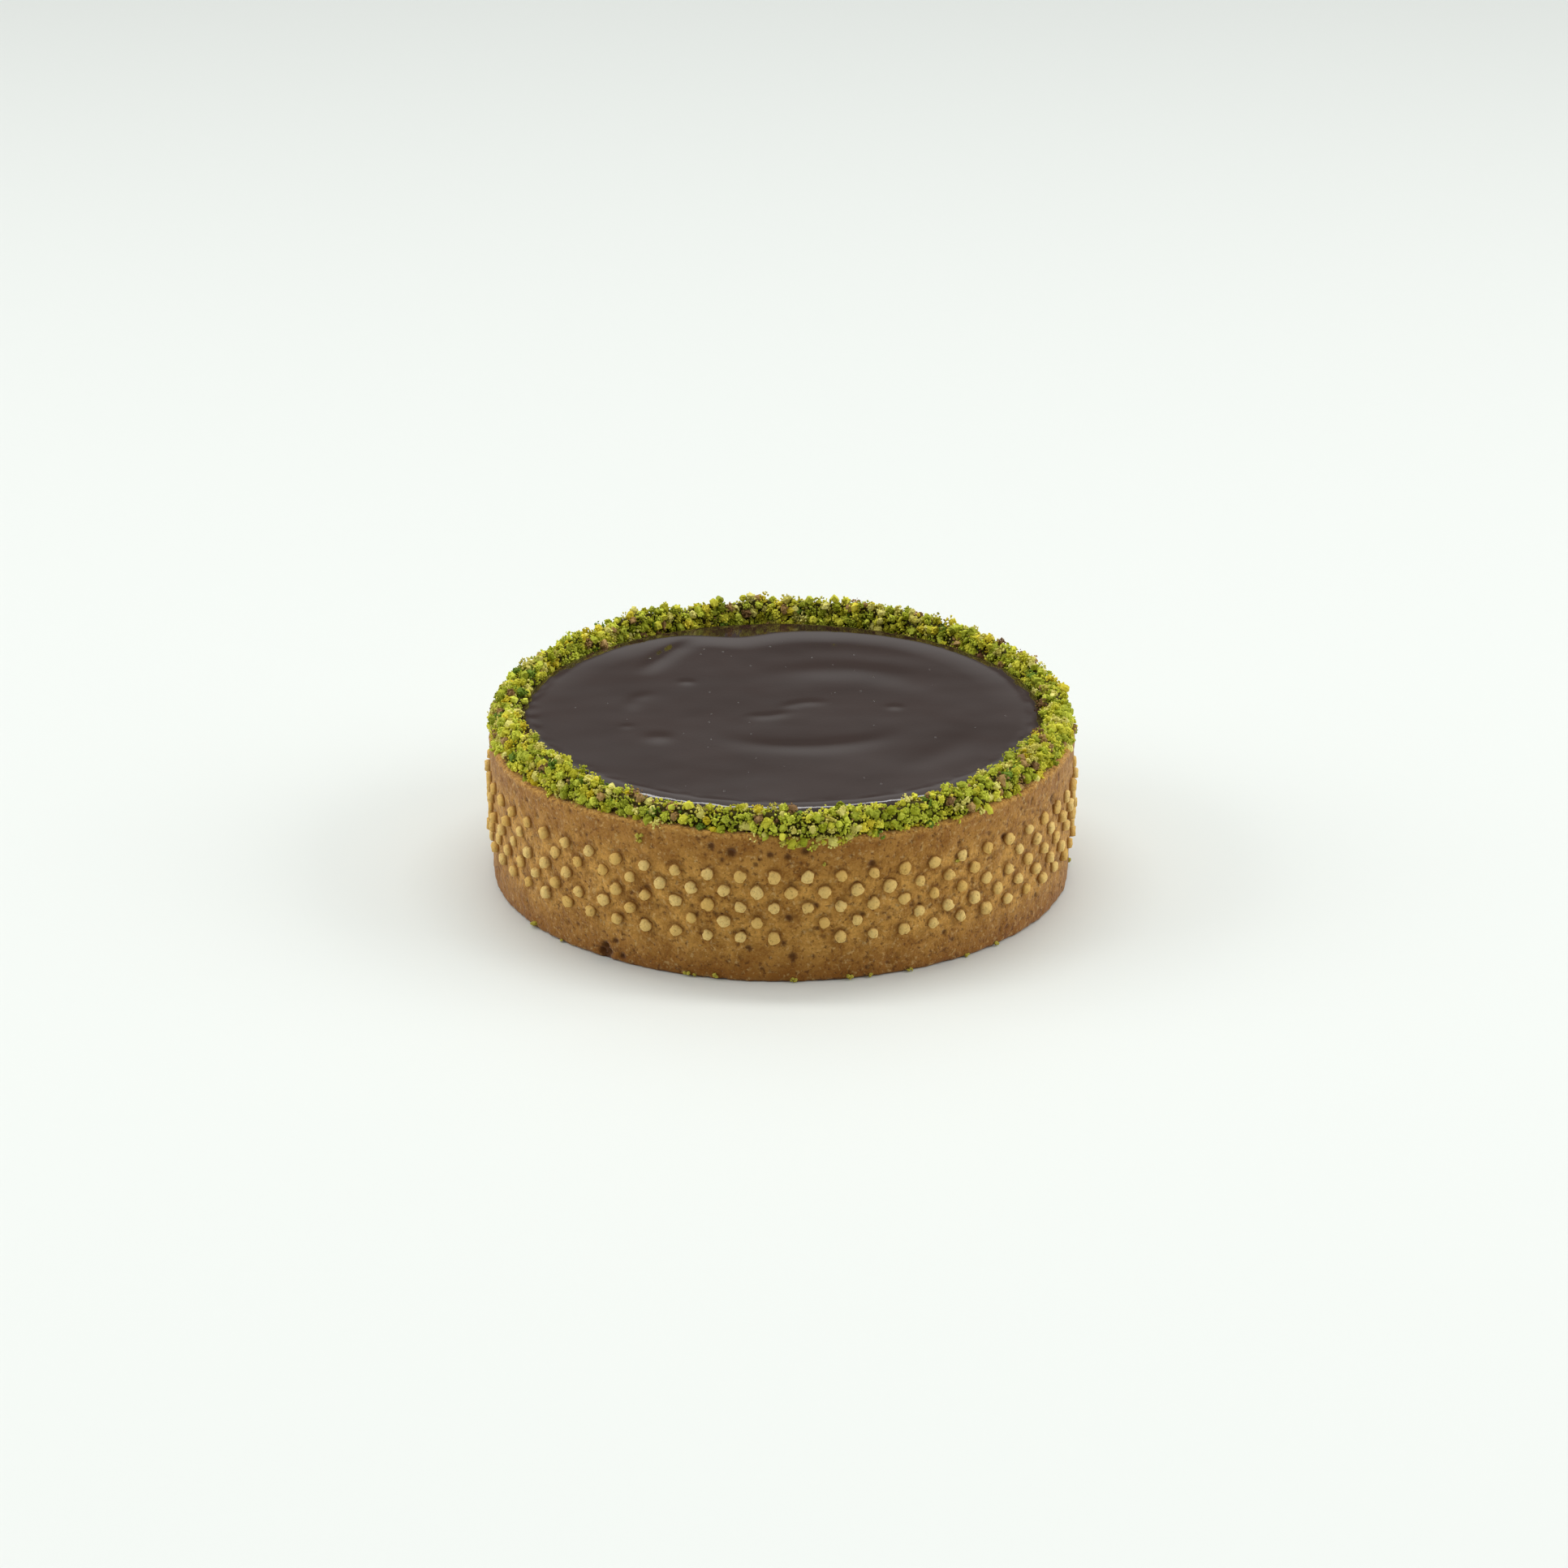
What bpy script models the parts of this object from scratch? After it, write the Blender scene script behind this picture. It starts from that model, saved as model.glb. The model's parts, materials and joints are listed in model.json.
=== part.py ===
"""A small round chocolate tart, as a Blender scene of three solids, in metres, +Z up.

crust            pastry case baked in a perforated ring, so its wall carries staggered rows of raised nubs
ganache          chocolate filling, poured until it domes over the rim
pistachio_crumbs bank of chopped pistachio lying on the rim and against the filling's edge

The origin is the centre of the case's underside. Angles are measured from the front (-Y) towards +X.
"""

import math
import random

import bmesh
import bpy
from mathutils import Matrix, Vector

MM = 0.001
CLEAR_GAP = 0.3 * MM
MERGE_DISTANCE = 0.01 * MM

# Pastry case
RING_RADIUS = 40.0 * MM
CRUST_HEIGHT = 20.5 * MM
WALL_THICKNESS = 3.0 * MM
FLOOR_THICKNESS = 3.0 * MM
WALL_TAPER = 0.35 * MM
EDGE_ROUND = 0.7 * MM
RIM_WAVE = 0.35 * MM
RIM_WAVES = 4
RIM_TURN = math.radians(170)

# Nubs, where the dough rose into the ring's holes
NUB_COLUMNS = 58
NUB_ROWS = 5
NUB_PITCH = math.tau / NUB_COLUMNS
NUB_TURN = math.radians(-1.3)
LOWEST_ROW = 6.4 * MM
ROW_SPACING = 2.15 * MM
NUB_FOOT_RADIUS = 0.98 * MM
NUB_TOP_RADIUS = 0.78 * MM
NUB_HEIGHT = 0.8 * MM
NUB_ROOT = 0.6 * MM
NUB_SIDES = 6
NUB_WIDTHS = (0.92, 1.06)
NUB_RISES = (0.8, 1.1)
NUB_SEED = 3
UNFILLED_SHARE = 0.04
UNFILLED_NUBS = {(0, 1), (1, 0), (1, -4), (1, 3), (2, -6)}

# Filling
GANACHE_TOP = 23.0 * MM
GANACHE_RADIUS = RING_RADIUS - WALL_THICKNESS - CLEAR_GAP
TOP_RINGS = 4
RIPPLE_HEIGHT = 0.12 * MM
RIPPLE_LENGTH = 11.0 * MM
RIPPLE_CENTRE = Vector((2.0, 1.5)) * MM

# Crumb bank
BANK_STEPS = 96
BANK_RISE_FRONT = 2.6 * MM
BANK_RISE_BACK = 4.3 * MM
BANK_REACH_FRONT = 36.4 * MM
BANK_REACH_SIDE = 35.4 * MM
BANK_REACH_BACK = 35.9 * MM
SHOULDER_WIDTH = 0.9 * MM
SHOULDER_DROP = 0.75 * MM
CREST_INSET = 2.2 * MM
OUTER_STEP = 1.2 * MM
OUTER_INSET = 0.4 * MM
LUMP = 0.25 * MM
BUMP = 0.35 * MM
BUMPY_POINTS = (1, 2, 3, 4)
CRUMB_ROWS = 3
CRUMBS_PER_ROW = 34
CRUMB_SIZE = (1.2 * MM, 1.8 * MM)
CRUMB_LOPSIDEDNESS = (0.6, 1.2)
CRUMB_LIFT = 0.15 * MM
CRUMB_SEED = 13


def clear_scene():
    for obj in list(bpy.data.objects):
        bpy.data.objects.remove(obj)


def material(name, colour, roughness):
    made = bpy.data.materials.new(name)
    made.use_nodes = True
    shader = made.node_tree.nodes["Principled BSDF"]
    shader.inputs["Base Color"].default_value = (*colour, 1)
    shader.inputs["Roughness"].default_value = roughness
    shader.inputs["Metallic"].default_value = 0
    return made


def collection(name, hidden=False):
    made = bpy.data.collections.new(name)
    made.hide_render = hidden
    bpy.context.scene.collection.children.link(made)
    return made


def at(angle, radius, height):
    """The point at this angle from the front, radius from the axis and height."""
    return Vector((radius * math.sin(angle), -radius * math.cos(angle), height))


def angle_of(point):
    return math.atan2(point.x, -point.y)


def turned(name, profile, steps, closed, into):
    """A solid of revolution about Z, as a plain mesh. The (radius, height) profile runs down its outer side."""
    outline = bpy.data.meshes.new(name)
    points = [(radius, 0, height) for radius, height in profile]
    edges = [(i, i + 1) for i in range(len(points) - 1)]
    if closed:
        edges.append((len(points) - 1, 0))
    outline.from_pydata(points, edges, [])
    spun = bpy.data.objects.new(name, outline)
    into.objects.link(spun)
    screw = spun.modifiers.new("Turn", "SCREW")
    screw.angle = math.tau
    screw.steps = screw.render_steps = steps
    screw.use_merge_vertices = True
    screw.merge_threshold = MERGE_DISTANCE
    return applied(spun)


def applied(obj):
    """The object with its modifiers made part of its mesh."""
    bpy.context.view_layer.update()
    graph = bpy.context.evaluated_depsgraph_get()
    plain = bpy.data.meshes.new_from_object(obj.evaluated_get(graph))
    obj.modifiers.clear()
    obj.data = plain
    return obj


def joined(obj, pieces, solver="EXACT"):
    """The object with every piece of the collection fused on, and the pieces removed."""
    union = obj.modifiers.new("Fuse", "BOOLEAN")
    union.operation = "UNION"
    union.operand_type = "COLLECTION"
    union.collection = pieces
    union.solver = solver
    applied(obj)
    for piece in list(pieces.objects):
        bpy.data.objects.remove(piece)
    bpy.data.collections.remove(pieces)
    return obj


def triangulated(obj):
    """The object with flat faces, whatever its corners were moved to."""
    shape = bmesh.new()
    shape.from_mesh(obj.data)
    bmesh.ops.triangulate(shape, faces=shape.faces)
    shape.to_mesh(obj.data)
    shape.free()
    return obj


def single_shell(obj):
    """The object as its largest shell in clean triangles, without pockets or scraps between fused pieces."""
    shape = bmesh.new()
    shape.from_mesh(obj.data)
    bmesh.ops.remove_doubles(shape, verts=shape.verts, dist=MERGE_DISTANCE)
    bmesh.ops.dissolve_degenerate(shape, edges=shape.edges, dist=MERGE_DISTANCE)
    bmesh.ops.triangulate(shape, faces=shape.faces)
    unseen = set(shape.faces)
    shells = []
    while unseen:
        reached = {unseen.pop()}
        shell = set(reached)
        while reached:
            near = {face for known in reached for edge in known.edges for face in edge.link_faces}
            reached = near - shell
            shell |= reached
        unseen -= shell
        shells.append(shell)
    largest = max(shells, key=len)
    scraps = [face for shell in shells if shell is not largest for face in shell]
    bmesh.ops.delete(shape, geom=scraps, context="FACES")
    shape.to_mesh(obj.data)
    shape.free()
    return obj


def finished(obj, look, smooth_below=math.radians(30)):
    obj.data.materials.clear()
    obj.data.materials.append(look)
    obj.data.shade_smooth()
    obj.data.set_sharp_from_angle(angle=smooth_below)
    return obj


def rim_height(angle):
    """Top of the pastry wall, which rises and dips a little round the ring."""
    return CRUST_HEIGHT + RIM_WAVE * math.sin(RIM_WAVES * angle + RIM_TURN)


def wall_radius(height):
    """Outside of the pastry wall: a little wider at the rim than at the foot."""
    return RING_RADIUS + WALL_TAPER * (height / CRUST_HEIGHT - 0.6)


def crust_profile():
    inner = RING_RADIUS - WALL_THICKNESS
    return [
        (0, FLOOR_THICKNESS),
        (inner - EDGE_ROUND, FLOOR_THICKNESS),
        (inner, FLOOR_THICKNESS + EDGE_ROUND),
        (inner, CRUST_HEIGHT - EDGE_ROUND),
        (inner + 0.4 * EDGE_ROUND, CRUST_HEIGHT),
        (wall_radius(CRUST_HEIGHT) - EDGE_ROUND, CRUST_HEIGHT),
        (wall_radius(CRUST_HEIGHT), CRUST_HEIGHT - EDGE_ROUND),
        (wall_radius(0), EDGE_ROUND),
        (wall_radius(0) - EDGE_ROUND, 0),
        (0, 0),
    ]


def nub_is_filled(row, column, draw):
    here = (row, (column + NUB_COLUMNS // 2) % NUB_COLUMNS - NUB_COLUMNS // 2)
    return draw > UNFILLED_SHARE and here not in UNFILLED_NUBS


def nub(row, column, chance, into):
    """One raised nub: a short tapered peg, standing square to the wall and rooted in it."""
    angle = NUB_TURN + NUB_PITCH * (column + 0.5 * (row % 2))
    height = LOWEST_ROW + ROW_SPACING * row
    size = chance.uniform(*NUB_WIDTHS)
    rise = NUB_HEIGHT * chance.uniform(*NUB_RISES)
    shape = bmesh.new()
    bmesh.ops.create_cone(
        shape,
        cap_ends=True,
        segments=NUB_SIDES,
        radius1=NUB_FOOT_RADIUS * size,
        radius2=NUB_TOP_RADIUS * size,
        depth=rise + NUB_ROOT,
    )
    mesh = bpy.data.meshes.new(f"nub_{row}_{column}")
    shape.to_mesh(mesh)
    shape.free()
    peg = bpy.data.objects.new(mesh.name, mesh)
    outwards = at(angle, 1, 0)
    peg.rotation_euler = outwards.to_track_quat("Z", "Y").to_euler()
    middle = wall_radius(height) + (rise - NUB_ROOT) / 2
    peg.location = at(angle, middle, height)
    into.objects.link(peg)


def build_crust(into):
    crust = turned("crust", crust_profile(), NUB_COLUMNS, False, into)
    crust.data.transform(Matrix.Rotation(NUB_TURN + NUB_PITCH / 4, 4, "Z"))
    for vertex in crust.data.vertices:
        share = max(0, (vertex.co.z - CRUST_HEIGHT / 2) / (CRUST_HEIGHT / 2))
        vertex.co.z += share * (rim_height(angle_of(vertex.co)) - CRUST_HEIGHT)
    chance = random.Random(NUB_SEED)
    pegs = collection("nubs")
    for row in range(NUB_ROWS):
        for column in range(NUB_COLUMNS):
            draw = chance.random()
            if nub_is_filled(row, column, draw):
                nub(row, column, chance, pegs)
    joined(crust, pegs)
    look = material("baked_pastry", (0.42, 0.24, 0.10), 0.75)
    return finished(crust, look)


def ganache_edge():
    """(radius, height) down the filling's rounded edge, from its flat top to the pastry rim."""
    return [
        (GANACHE_RADIUS - 2.2 * MM, GANACHE_TOP - 0.02 * MM),
        (GANACHE_RADIUS - 1.1 * MM, GANACHE_TOP - 0.25 * MM),
        (GANACHE_RADIUS - 0.35 * MM, GANACHE_TOP - 0.9 * MM),
        (GANACHE_RADIUS, GANACHE_TOP - 2.2 * MM),
    ]


def ripple(point):
    """Height of the slow rings left in the glaze as it was poured and spread."""
    away = (point.xy - RIPPLE_CENTRE).length
    fade = max(0, 1 - (point.xy.length / (GANACHE_RADIUS - 3 * MM)) ** 4)
    return RIPPLE_HEIGHT * fade * math.cos(math.tau * away / RIPPLE_LENGTH + 0.8 * angle_of(point))


def build_ganache(into):
    flat_radius = ganache_edge()[0][0]
    flat = [(flat_radius * ring / TOP_RINGS, GANACHE_TOP) for ring in range(TOP_RINGS)]
    bottom = FLOOR_THICKNESS + CLEAR_GAP
    base = [(GANACHE_RADIUS, bottom + EDGE_ROUND), (GANACHE_RADIUS - EDGE_ROUND, bottom), (0, bottom)]
    ganache = turned("ganache", flat + ganache_edge() + base, NUB_COLUMNS, False, into)
    ganache.data.transform(Matrix.Rotation(NUB_TURN, 4, "Z"))
    for vertex in ganache.data.vertices:
        if vertex.co.z > GANACHE_TOP - 0.1 * MM and vertex.co.xy.length > MM:
            vertex.co.z += ripple(vertex.co)
    look = material("dark_ganache", (0.035, 0.018, 0.013), 0.12)
    return finished(ganache, look)


def between_front_and_back(angle, front, back):
    share = 0.5 - 0.5 * math.cos(angle)
    return front + share * (back - front)


def bank_top(angle):
    """Height of the crumb bank's core, lower at the front than at the back, with slow lumps."""
    rise = between_front_and_back(angle, BANK_RISE_FRONT, BANK_RISE_BACK)
    lumps = math.sin(9 * angle + 0.4) + 0.8 * math.sin(23 * angle)
    return CRUST_HEIGHT + rise + LUMP * lumps


def bank_reach(angle):
    """How far in over the filling's edge the crumbs lie."""
    ends = between_front_and_back(angle, BANK_REACH_FRONT, BANK_REACH_BACK)
    side = math.sin(angle) ** 2
    return ends + side * (BANK_REACH_SIDE - ends) + LUMP * math.sin(11 * angle)


def lowest_clear(angle, radius):
    """Lowest height at which a crumb clears the filling or the pastry rim below it."""
    sill = rim_height(angle) + CLEAR_GAP
    edge = [(0, GANACHE_TOP + RIPPLE_HEIGHT), *ganache_edge()]
    for (near, high), (far, low) in zip(edge, edge[1:]):
        if near <= radius <= far:
            slope = (radius - near) / (far - near)
            return max(sill, high + (low - high) * slope + 1.5 * CLEAR_GAP)
    return sill


def bank_section(angle):
    """(radius, height) round the core's section, from over the filling's edge outwards, down and back in."""
    top = bank_top(angle)
    reach = bank_reach(angle)
    foot = lowest_clear(angle, reach)
    sill = rim_height(angle) + CLEAR_GAP
    outside = wall_radius(CRUST_HEIGHT) - OUTER_INSET
    beside_filling = GANACHE_RADIUS + 1.2 * CLEAR_GAP
    return [
        (reach, foot),
        (reach + SHOULDER_WIDTH, max(top - SHOULDER_DROP, foot + SHOULDER_DROP / 2)),
        (outside - CREST_INSET + OUTER_INSET, top),
        (outside - SHOULDER_WIDTH / 2, top - SHOULDER_DROP),
        (outside, sill + OUTER_STEP),
        (outside, sill),
        (beside_filling, sill),
        (beside_filling, GANACHE_TOP - 2 * SHOULDER_DROP),
    ]


def along_section(angle, share):
    """The point this share of the way over the core's open side, from the filling to the outer foot."""
    open_side = [Vector(point) for point in bank_section(angle)[:5]]
    place = share * (len(open_side) - 1)
    first = min(int(place), len(open_side) - 2)
    radius, height = open_side[first].lerp(open_side[first + 1], place - first)
    return at(angle, radius, height)


def crumb(name, centre, size, chance, into):
    """One crumb: a lopsided chip with few faces, lifted where it would meet the filling or the rim."""
    turn = Matrix.Rotation(chance.uniform(0, math.tau), 4, (chance.random(), chance.random(), 0.3))
    shape = bmesh.new()
    bmesh.ops.create_cube(shape, size=size)
    sunk = 0
    for vertex in shape.verts:
        corner = centre + turn @ (vertex.co * chance.uniform(*CRUMB_LOPSIDEDNESS))
        lowest = lowest_clear(angle_of(corner), corner.xy.length) + CRUMB_LIFT
        sunk = max(sunk, lowest - corner.z)
        vertex.co = corner
    bmesh.ops.translate(shape, vec=(0, 0, sunk), verts=shape.verts)
    bmesh.ops.triangulate(shape, faces=shape.faces)
    mesh = bpy.data.meshes.new(name)
    shape.to_mesh(mesh)
    shape.free()
    into.objects.link(bpy.data.objects.new(name, mesh))


def build_crumbs(into):
    """The bank: a core with bumps on its open side, and the crumbs that stand out fused on."""
    section = [Vector(point) for point in bank_section(0)]
    bank = turned("pistachio_crumbs", section, BANK_STEPS, True, into)
    chance = random.Random(CRUMB_SEED)
    for vertex in bank.data.vertices:
        here = Vector((vertex.co.xy.length, vertex.co.z))
        index = min(range(len(section)), key=lambda i: (section[i] - here).length)
        angle = angle_of(vertex.co)
        vertex.co = at(angle, *bank_section(angle)[index])
        if index in BUMPY_POINTS:
            vertex.co += at(angle, chance.uniform(-BUMP, BUMP), chance.uniform(-BUMP, BUMP))
    triangulated(bank)
    chips = collection("crumbs")
    for row in range(CRUMB_ROWS):
        for number in range(CRUMBS_PER_ROW):
            angle = math.tau * (number + 0.5 * (row % 2) + chance.uniform(-0.3, 0.3)) / CRUMBS_PER_ROW
            share = (row + chance.uniform(0.2, 0.8)) / CRUMB_ROWS
            size = chance.uniform(*CRUMB_SIZE)
            crumb(f"crumb_{row}_{number}", along_section(angle, share), size, chance, chips)
    single_shell(joined(bank, chips, "MANIFOLD"))
    look = material("chopped_pistachio", (0.32, 0.42, 0.04), 0.8)
    return finished(bank, look)


def main():
    clear_scene()
    tart = collection("chocolate_tart")
    build_crust(tart)
    build_ganache(tart)
    build_crumbs(tart)


main()
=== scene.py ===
# %% [markdown]
# # A small chocolate tart with a pistachio ring
#
# The tart has three parts that can be told apart: a straight-sided pastry case, a glossy chocolate
# filling and a ring of chopped pistachio. The solids of all three are loaded first, at their real size.
# Each one is then replaced by a finer piece in the same place, because a baked crust, a poured glaze
# and a heap of crumbs need far more small shapes than a solid that is meant for handling and weighing.

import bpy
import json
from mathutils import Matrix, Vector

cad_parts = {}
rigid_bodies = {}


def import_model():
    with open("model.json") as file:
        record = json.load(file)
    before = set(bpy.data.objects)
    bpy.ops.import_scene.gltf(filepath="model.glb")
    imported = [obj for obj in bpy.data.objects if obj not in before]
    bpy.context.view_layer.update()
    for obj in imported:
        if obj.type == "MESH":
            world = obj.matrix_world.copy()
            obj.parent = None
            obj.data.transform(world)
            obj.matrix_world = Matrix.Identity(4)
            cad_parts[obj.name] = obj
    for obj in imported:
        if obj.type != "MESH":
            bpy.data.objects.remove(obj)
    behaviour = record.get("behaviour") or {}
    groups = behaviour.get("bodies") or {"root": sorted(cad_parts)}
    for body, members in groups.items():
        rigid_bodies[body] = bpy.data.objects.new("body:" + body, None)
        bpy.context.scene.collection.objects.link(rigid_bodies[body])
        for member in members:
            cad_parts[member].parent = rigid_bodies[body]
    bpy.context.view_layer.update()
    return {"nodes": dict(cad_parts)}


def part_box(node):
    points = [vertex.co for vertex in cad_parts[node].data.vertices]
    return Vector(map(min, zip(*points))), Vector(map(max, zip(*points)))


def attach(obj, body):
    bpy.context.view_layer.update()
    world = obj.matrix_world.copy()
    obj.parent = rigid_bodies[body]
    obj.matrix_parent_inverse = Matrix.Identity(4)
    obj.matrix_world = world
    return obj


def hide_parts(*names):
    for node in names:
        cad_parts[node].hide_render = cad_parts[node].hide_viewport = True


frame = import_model()
print("solids:", sorted(frame["nodes"]))

# %% Tools
import json
import math
import random

import bmesh
import bpy
import numpy as np
from mathutils import Matrix, Vector, noise

MM = 0.001

# %% [markdown]
# ## Sizes
#
# The sizes are those of a perforated tart ring of 80 mm, and the filling's solid says how thick the
# floor is. Every angle is measured from the front of the tart, which faces -Y, towards +X. Working in
# an angle, a radius and a height keeps each rule short, because nearly everything on a tart runs round
# one axis.

# %% Sizes shared by the pieces
filling_low, filling_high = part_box("ganache")
FILLING_RADIUS = 36.7 * MM
WALL_THICKNESS = 3.0 * MM
CLEAR_GAP = 0.3 * MM
RING_RADIUS = FILLING_RADIUS + CLEAR_GAP + WALL_THICKNESS
CRUST_HEIGHT = 20.5 * MM
FLOOR_THICKNESS = filling_low.z - CLEAR_GAP
WALL_TAPER = 0.35 * MM
TAPER_MIDDLE = 0.6
RIM_WAVE = 0.35 * MM
RIM_WAVES = 4
RIM_TURN = math.radians(170)
GLAZE_TOP = 23.0 * MM
print("filling is", round((filling_high.x - filling_low.x) / MM, 1), "mm across")


def at(angle, radius, height):
    """The point at this angle from the front, this far from the axis and this high."""
    return Vector((radius * math.sin(angle), -radius * math.cos(angle), height))


def from_direction(angles, direction):
    """The turn from this direction to each angle, from minus half a turn to half a turn."""
    return (angles - direction + math.pi) % math.tau - math.pi


def rim_height(angle):
    """Top of the pastry wall, which rises and dips round the ring."""
    return CRUST_HEIGHT + RIM_WAVE * np.sin(RIM_WAVES * angle + RIM_TURN)


def wall_radius(height):
    """Outside of the pastry wall, a little wider at the rim than at the foot."""
    return RING_RADIUS + WALL_TAPER * (height / CRUST_HEIGHT - TAPER_MIDDLE)


# %% [markdown]
# ## Turning a profile
#
# Case and filling were both shaped by a round mould, so both start as a profile turned by a Screw
# modifier. The modifier merges the first and last column and the points on the axis, which leaves one
# closed skin. Vertices are moved afterwards with arrays, because a rule for many thousand points is
# quick to write and run that way.

# %% Turned shapes and their points
SEED_STEP = (3.7, 1.9, 5.3)


def in_scene(name, data):
    """A new object with this data, linked to the scene."""
    made = bpy.data.objects.new(name, data)
    bpy.context.scene.collection.objects.link(made)
    return made


def as_mesh(name, shape):
    """The bmesh shape as a mesh of this name."""
    mesh = bpy.data.meshes.new(name)
    shape.to_mesh(mesh)
    shape.free()
    return mesh


def as_plain_mesh(carrier):
    """The carrier with its modifiers made part of its mesh."""
    bpy.context.view_layer.update()
    graph = bpy.context.evaluated_depsgraph_get()
    plain = bpy.data.meshes.new_from_object(carrier.evaluated_get(graph))
    plain.name = carrier.name
    carrier.modifiers.clear()
    carrier.data = plain
    return carrier


def turned(name, profile, columns):
    """A closed skin of revolution about Z, as an object with a plain mesh."""
    outline = bpy.data.meshes.new(name)
    points = [(radius, 0, height) for radius, height in profile]
    outline.from_pydata(points, [(i, i + 1) for i in range(len(points) - 1)], [])
    spun = in_scene(name, outline)
    screw = spun.modifiers.new("Turn", "SCREW")
    screw.steps = screw.render_steps = columns
    screw.use_merge_vertices = True
    screw.merge_threshold = 0.01 * MM
    return as_plain_mesh(spun)


def read_points(mesh, what="co"):
    values = np.empty(len(mesh.vertices) * 3, np.float32)
    mesh.vertices.foreach_get(what, values)
    return values.reshape(-1, 3).astype(float)


def write_points(mesh, points):
    mesh.vertices.foreach_set("co", points.astype(np.float32).ravel())
    mesh.update()


def keep_value(mesh, name, values):
    """Stores one number for each vertex, for a material to read."""
    mesh.attributes.new(name, "FLOAT", "POINT").data.foreach_set("value", values.astype(np.float32))


def grain(points, size, seed):
    """Smooth random values of about -1 to 1, with lumps of this size, one for each point."""
    shift = Vector([seed * step for step in SEED_STEP])
    return np.array([noise.noise(Vector(point) + shift) for point in points / size])


# %% [markdown]
# ## Where the nubs stand
#
# The case was baked in a ring with small holes. The dough rose into them and left rows of little
# buttons, and the rows are staggered because the holes are. The place of every button follows from a
# row and a column, so the wall's colour and the buttons themselves can both be worked out from the same
# few numbers.

# %% The ring's holes
NUB_COLUMNS = 58
NUB_ROWS = 5
NUB_PITCH = math.tau / NUB_COLUMNS
NUB_TURN = math.radians(-1.3)
LOWEST_ROW = 6.4 * MM
ROW_SPACING = 2.15 * MM
NUB_RADIUS = 0.81 * MM
NUB_HEIGHT = 0.84 * MM
# (row, column) of the holes in front that the dough never filled
MISSING_NUBS = [(0, 1), (1, 0), (1, -4), (1, 3), (2, -6)]


def nub_place(row, column):
    """(angle, height) of one hole."""
    return NUB_TURN + NUB_PITCH * (column + 0.5 * (row % 2)), LOWEST_ROW + ROW_SPACING * row


def from_nearest_nub(angles, heights):
    """How far each point of the wall is from the middle of the nearest hole, and how far above it."""
    nearest = np.full(len(angles), np.inf)
    above = np.zeros(len(angles))
    for row in range(NUB_ROWS):
        first, level = nub_place(row, 0)
        off = (angles - first + NUB_PITCH / 2) % NUB_PITCH - NUB_PITCH / 2
        away = np.hypot(off * RING_RADIUS, heights - level)
        above = np.where(away < nearest, heights - level, above)
        nearest = np.minimum(nearest, away)
    return nearest, above


print("holes in the ring:", NUB_COLUMNS * NUB_ROWS)

# %% [markdown]
# ## The pastry case
#
# Baked sweet pastry is sandy: it has a fine grain, slow dents from the dough's folds, and pits where
# air was caught against the ring. All three are real relief here, on a grid of about a quarter of a
# millimetre. The big pits are where the eye finds them on the real wall, and the small ones are
# scattered by a seeded random draw.

# %% Profile of the case
GRID = 0.28 * MM
CASE_COLUMNS = 880
RIM_POINTS = 7
CORNER_STEPS = 5
EDGE_ROUND = 0.7 * MM
EDGE_START = 75
FOOT_ROUND = 0.5 * MM
UNDERSIDE_RING = 0.7


def arc(centre, radius, start, end):
    """Points on a round corner, with angles in degrees from +radius towards +height."""
    turns = np.radians(np.linspace(start, end, CORNER_STEPS))
    return [(centre[0] + radius * math.cos(a), centre[1] + radius * math.sin(a)) for a in turns]


def case_profile():
    """(radius, height) from the middle of the floor, up inside, over the rim and down to the foot."""
    inner = RING_RADIUS - WALL_THICKNESS
    top_out = wall_radius(CRUST_HEIGHT)
    foot_out = wall_radius(0)
    inside = [(0, FLOOR_THICKNESS), (inner, FLOOR_THICKNESS), (inner, CRUST_HEIGHT - EDGE_ROUND)]
    rim_radii = np.linspace(inner + CLEAR_GAP, top_out - EDGE_ROUND, RIM_POINTS)
    rim = [(radius, CRUST_HEIGHT) for radius in rim_radii]
    rim_edge = arc((top_out - EDGE_ROUND, CRUST_HEIGHT - EDGE_ROUND), EDGE_ROUND, EDGE_START, 0)
    levels = np.arange(CRUST_HEIGHT - EDGE_ROUND - GRID, FOOT_ROUND + GRID / 2, -GRID)
    wall = [(wall_radius(level), level) for level in levels]
    foot_edge = arc((foot_out - FOOT_ROUND, FOOT_ROUND), FOOT_ROUND, 0, -90)
    underside = [(UNDERSIDE_RING * foot_out, 0), (0, 0)]
    return inside + rim + rim_edge + wall + foot_edge + underside


# %% Pits in the wall
# degrees from the front, then height, radius and depth in millimetres
NAMED_PITS = [
    (-35.5, 1.8, 0.50, 0.80),
    (-34.7, 1.1, 0.45, 0.65),
    (-36.2, 0.9, 0.50, 0.85),
    (-35.4, 0.3, 0.50, 0.80),
    (-33.0, 2.9, 0.38, 0.34),
    (-31.5, 1.0, 0.42, 0.36),
    (-9.2, 18.0, 0.58, 0.42),
    (-13.0, 18.6, 0.42, 0.36),
    (-2.0, 18.0, 0.40, 0.36),
    (1.2, 17.8, 0.38, 0.32),
    (4.4, 18.6, 0.45, 0.34),
    (1.5, 9.2, 0.38, 0.36),
    (2.2, 3.7, 0.44, 0.38),
    (-6.0, 4.8, 0.36, 0.32),
    (0.5, 5.6, 0.32, 0.28),
    (-11.0, 16.9, 0.30, 0.26),
    (17.0, 16.4, 0.46, 0.36),
    (32.5, 4.5, 0.30, 0.24),
    (47.0, 15.5, 0.42, 0.24),
    (59.0, 4.3, 0.32, 0.26),
    (65.0, 16.5, 0.55, 0.42),
]
SMALL_PITS = 520
SMALL_PIT_SIZES = (0.14, 0.30)
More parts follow.
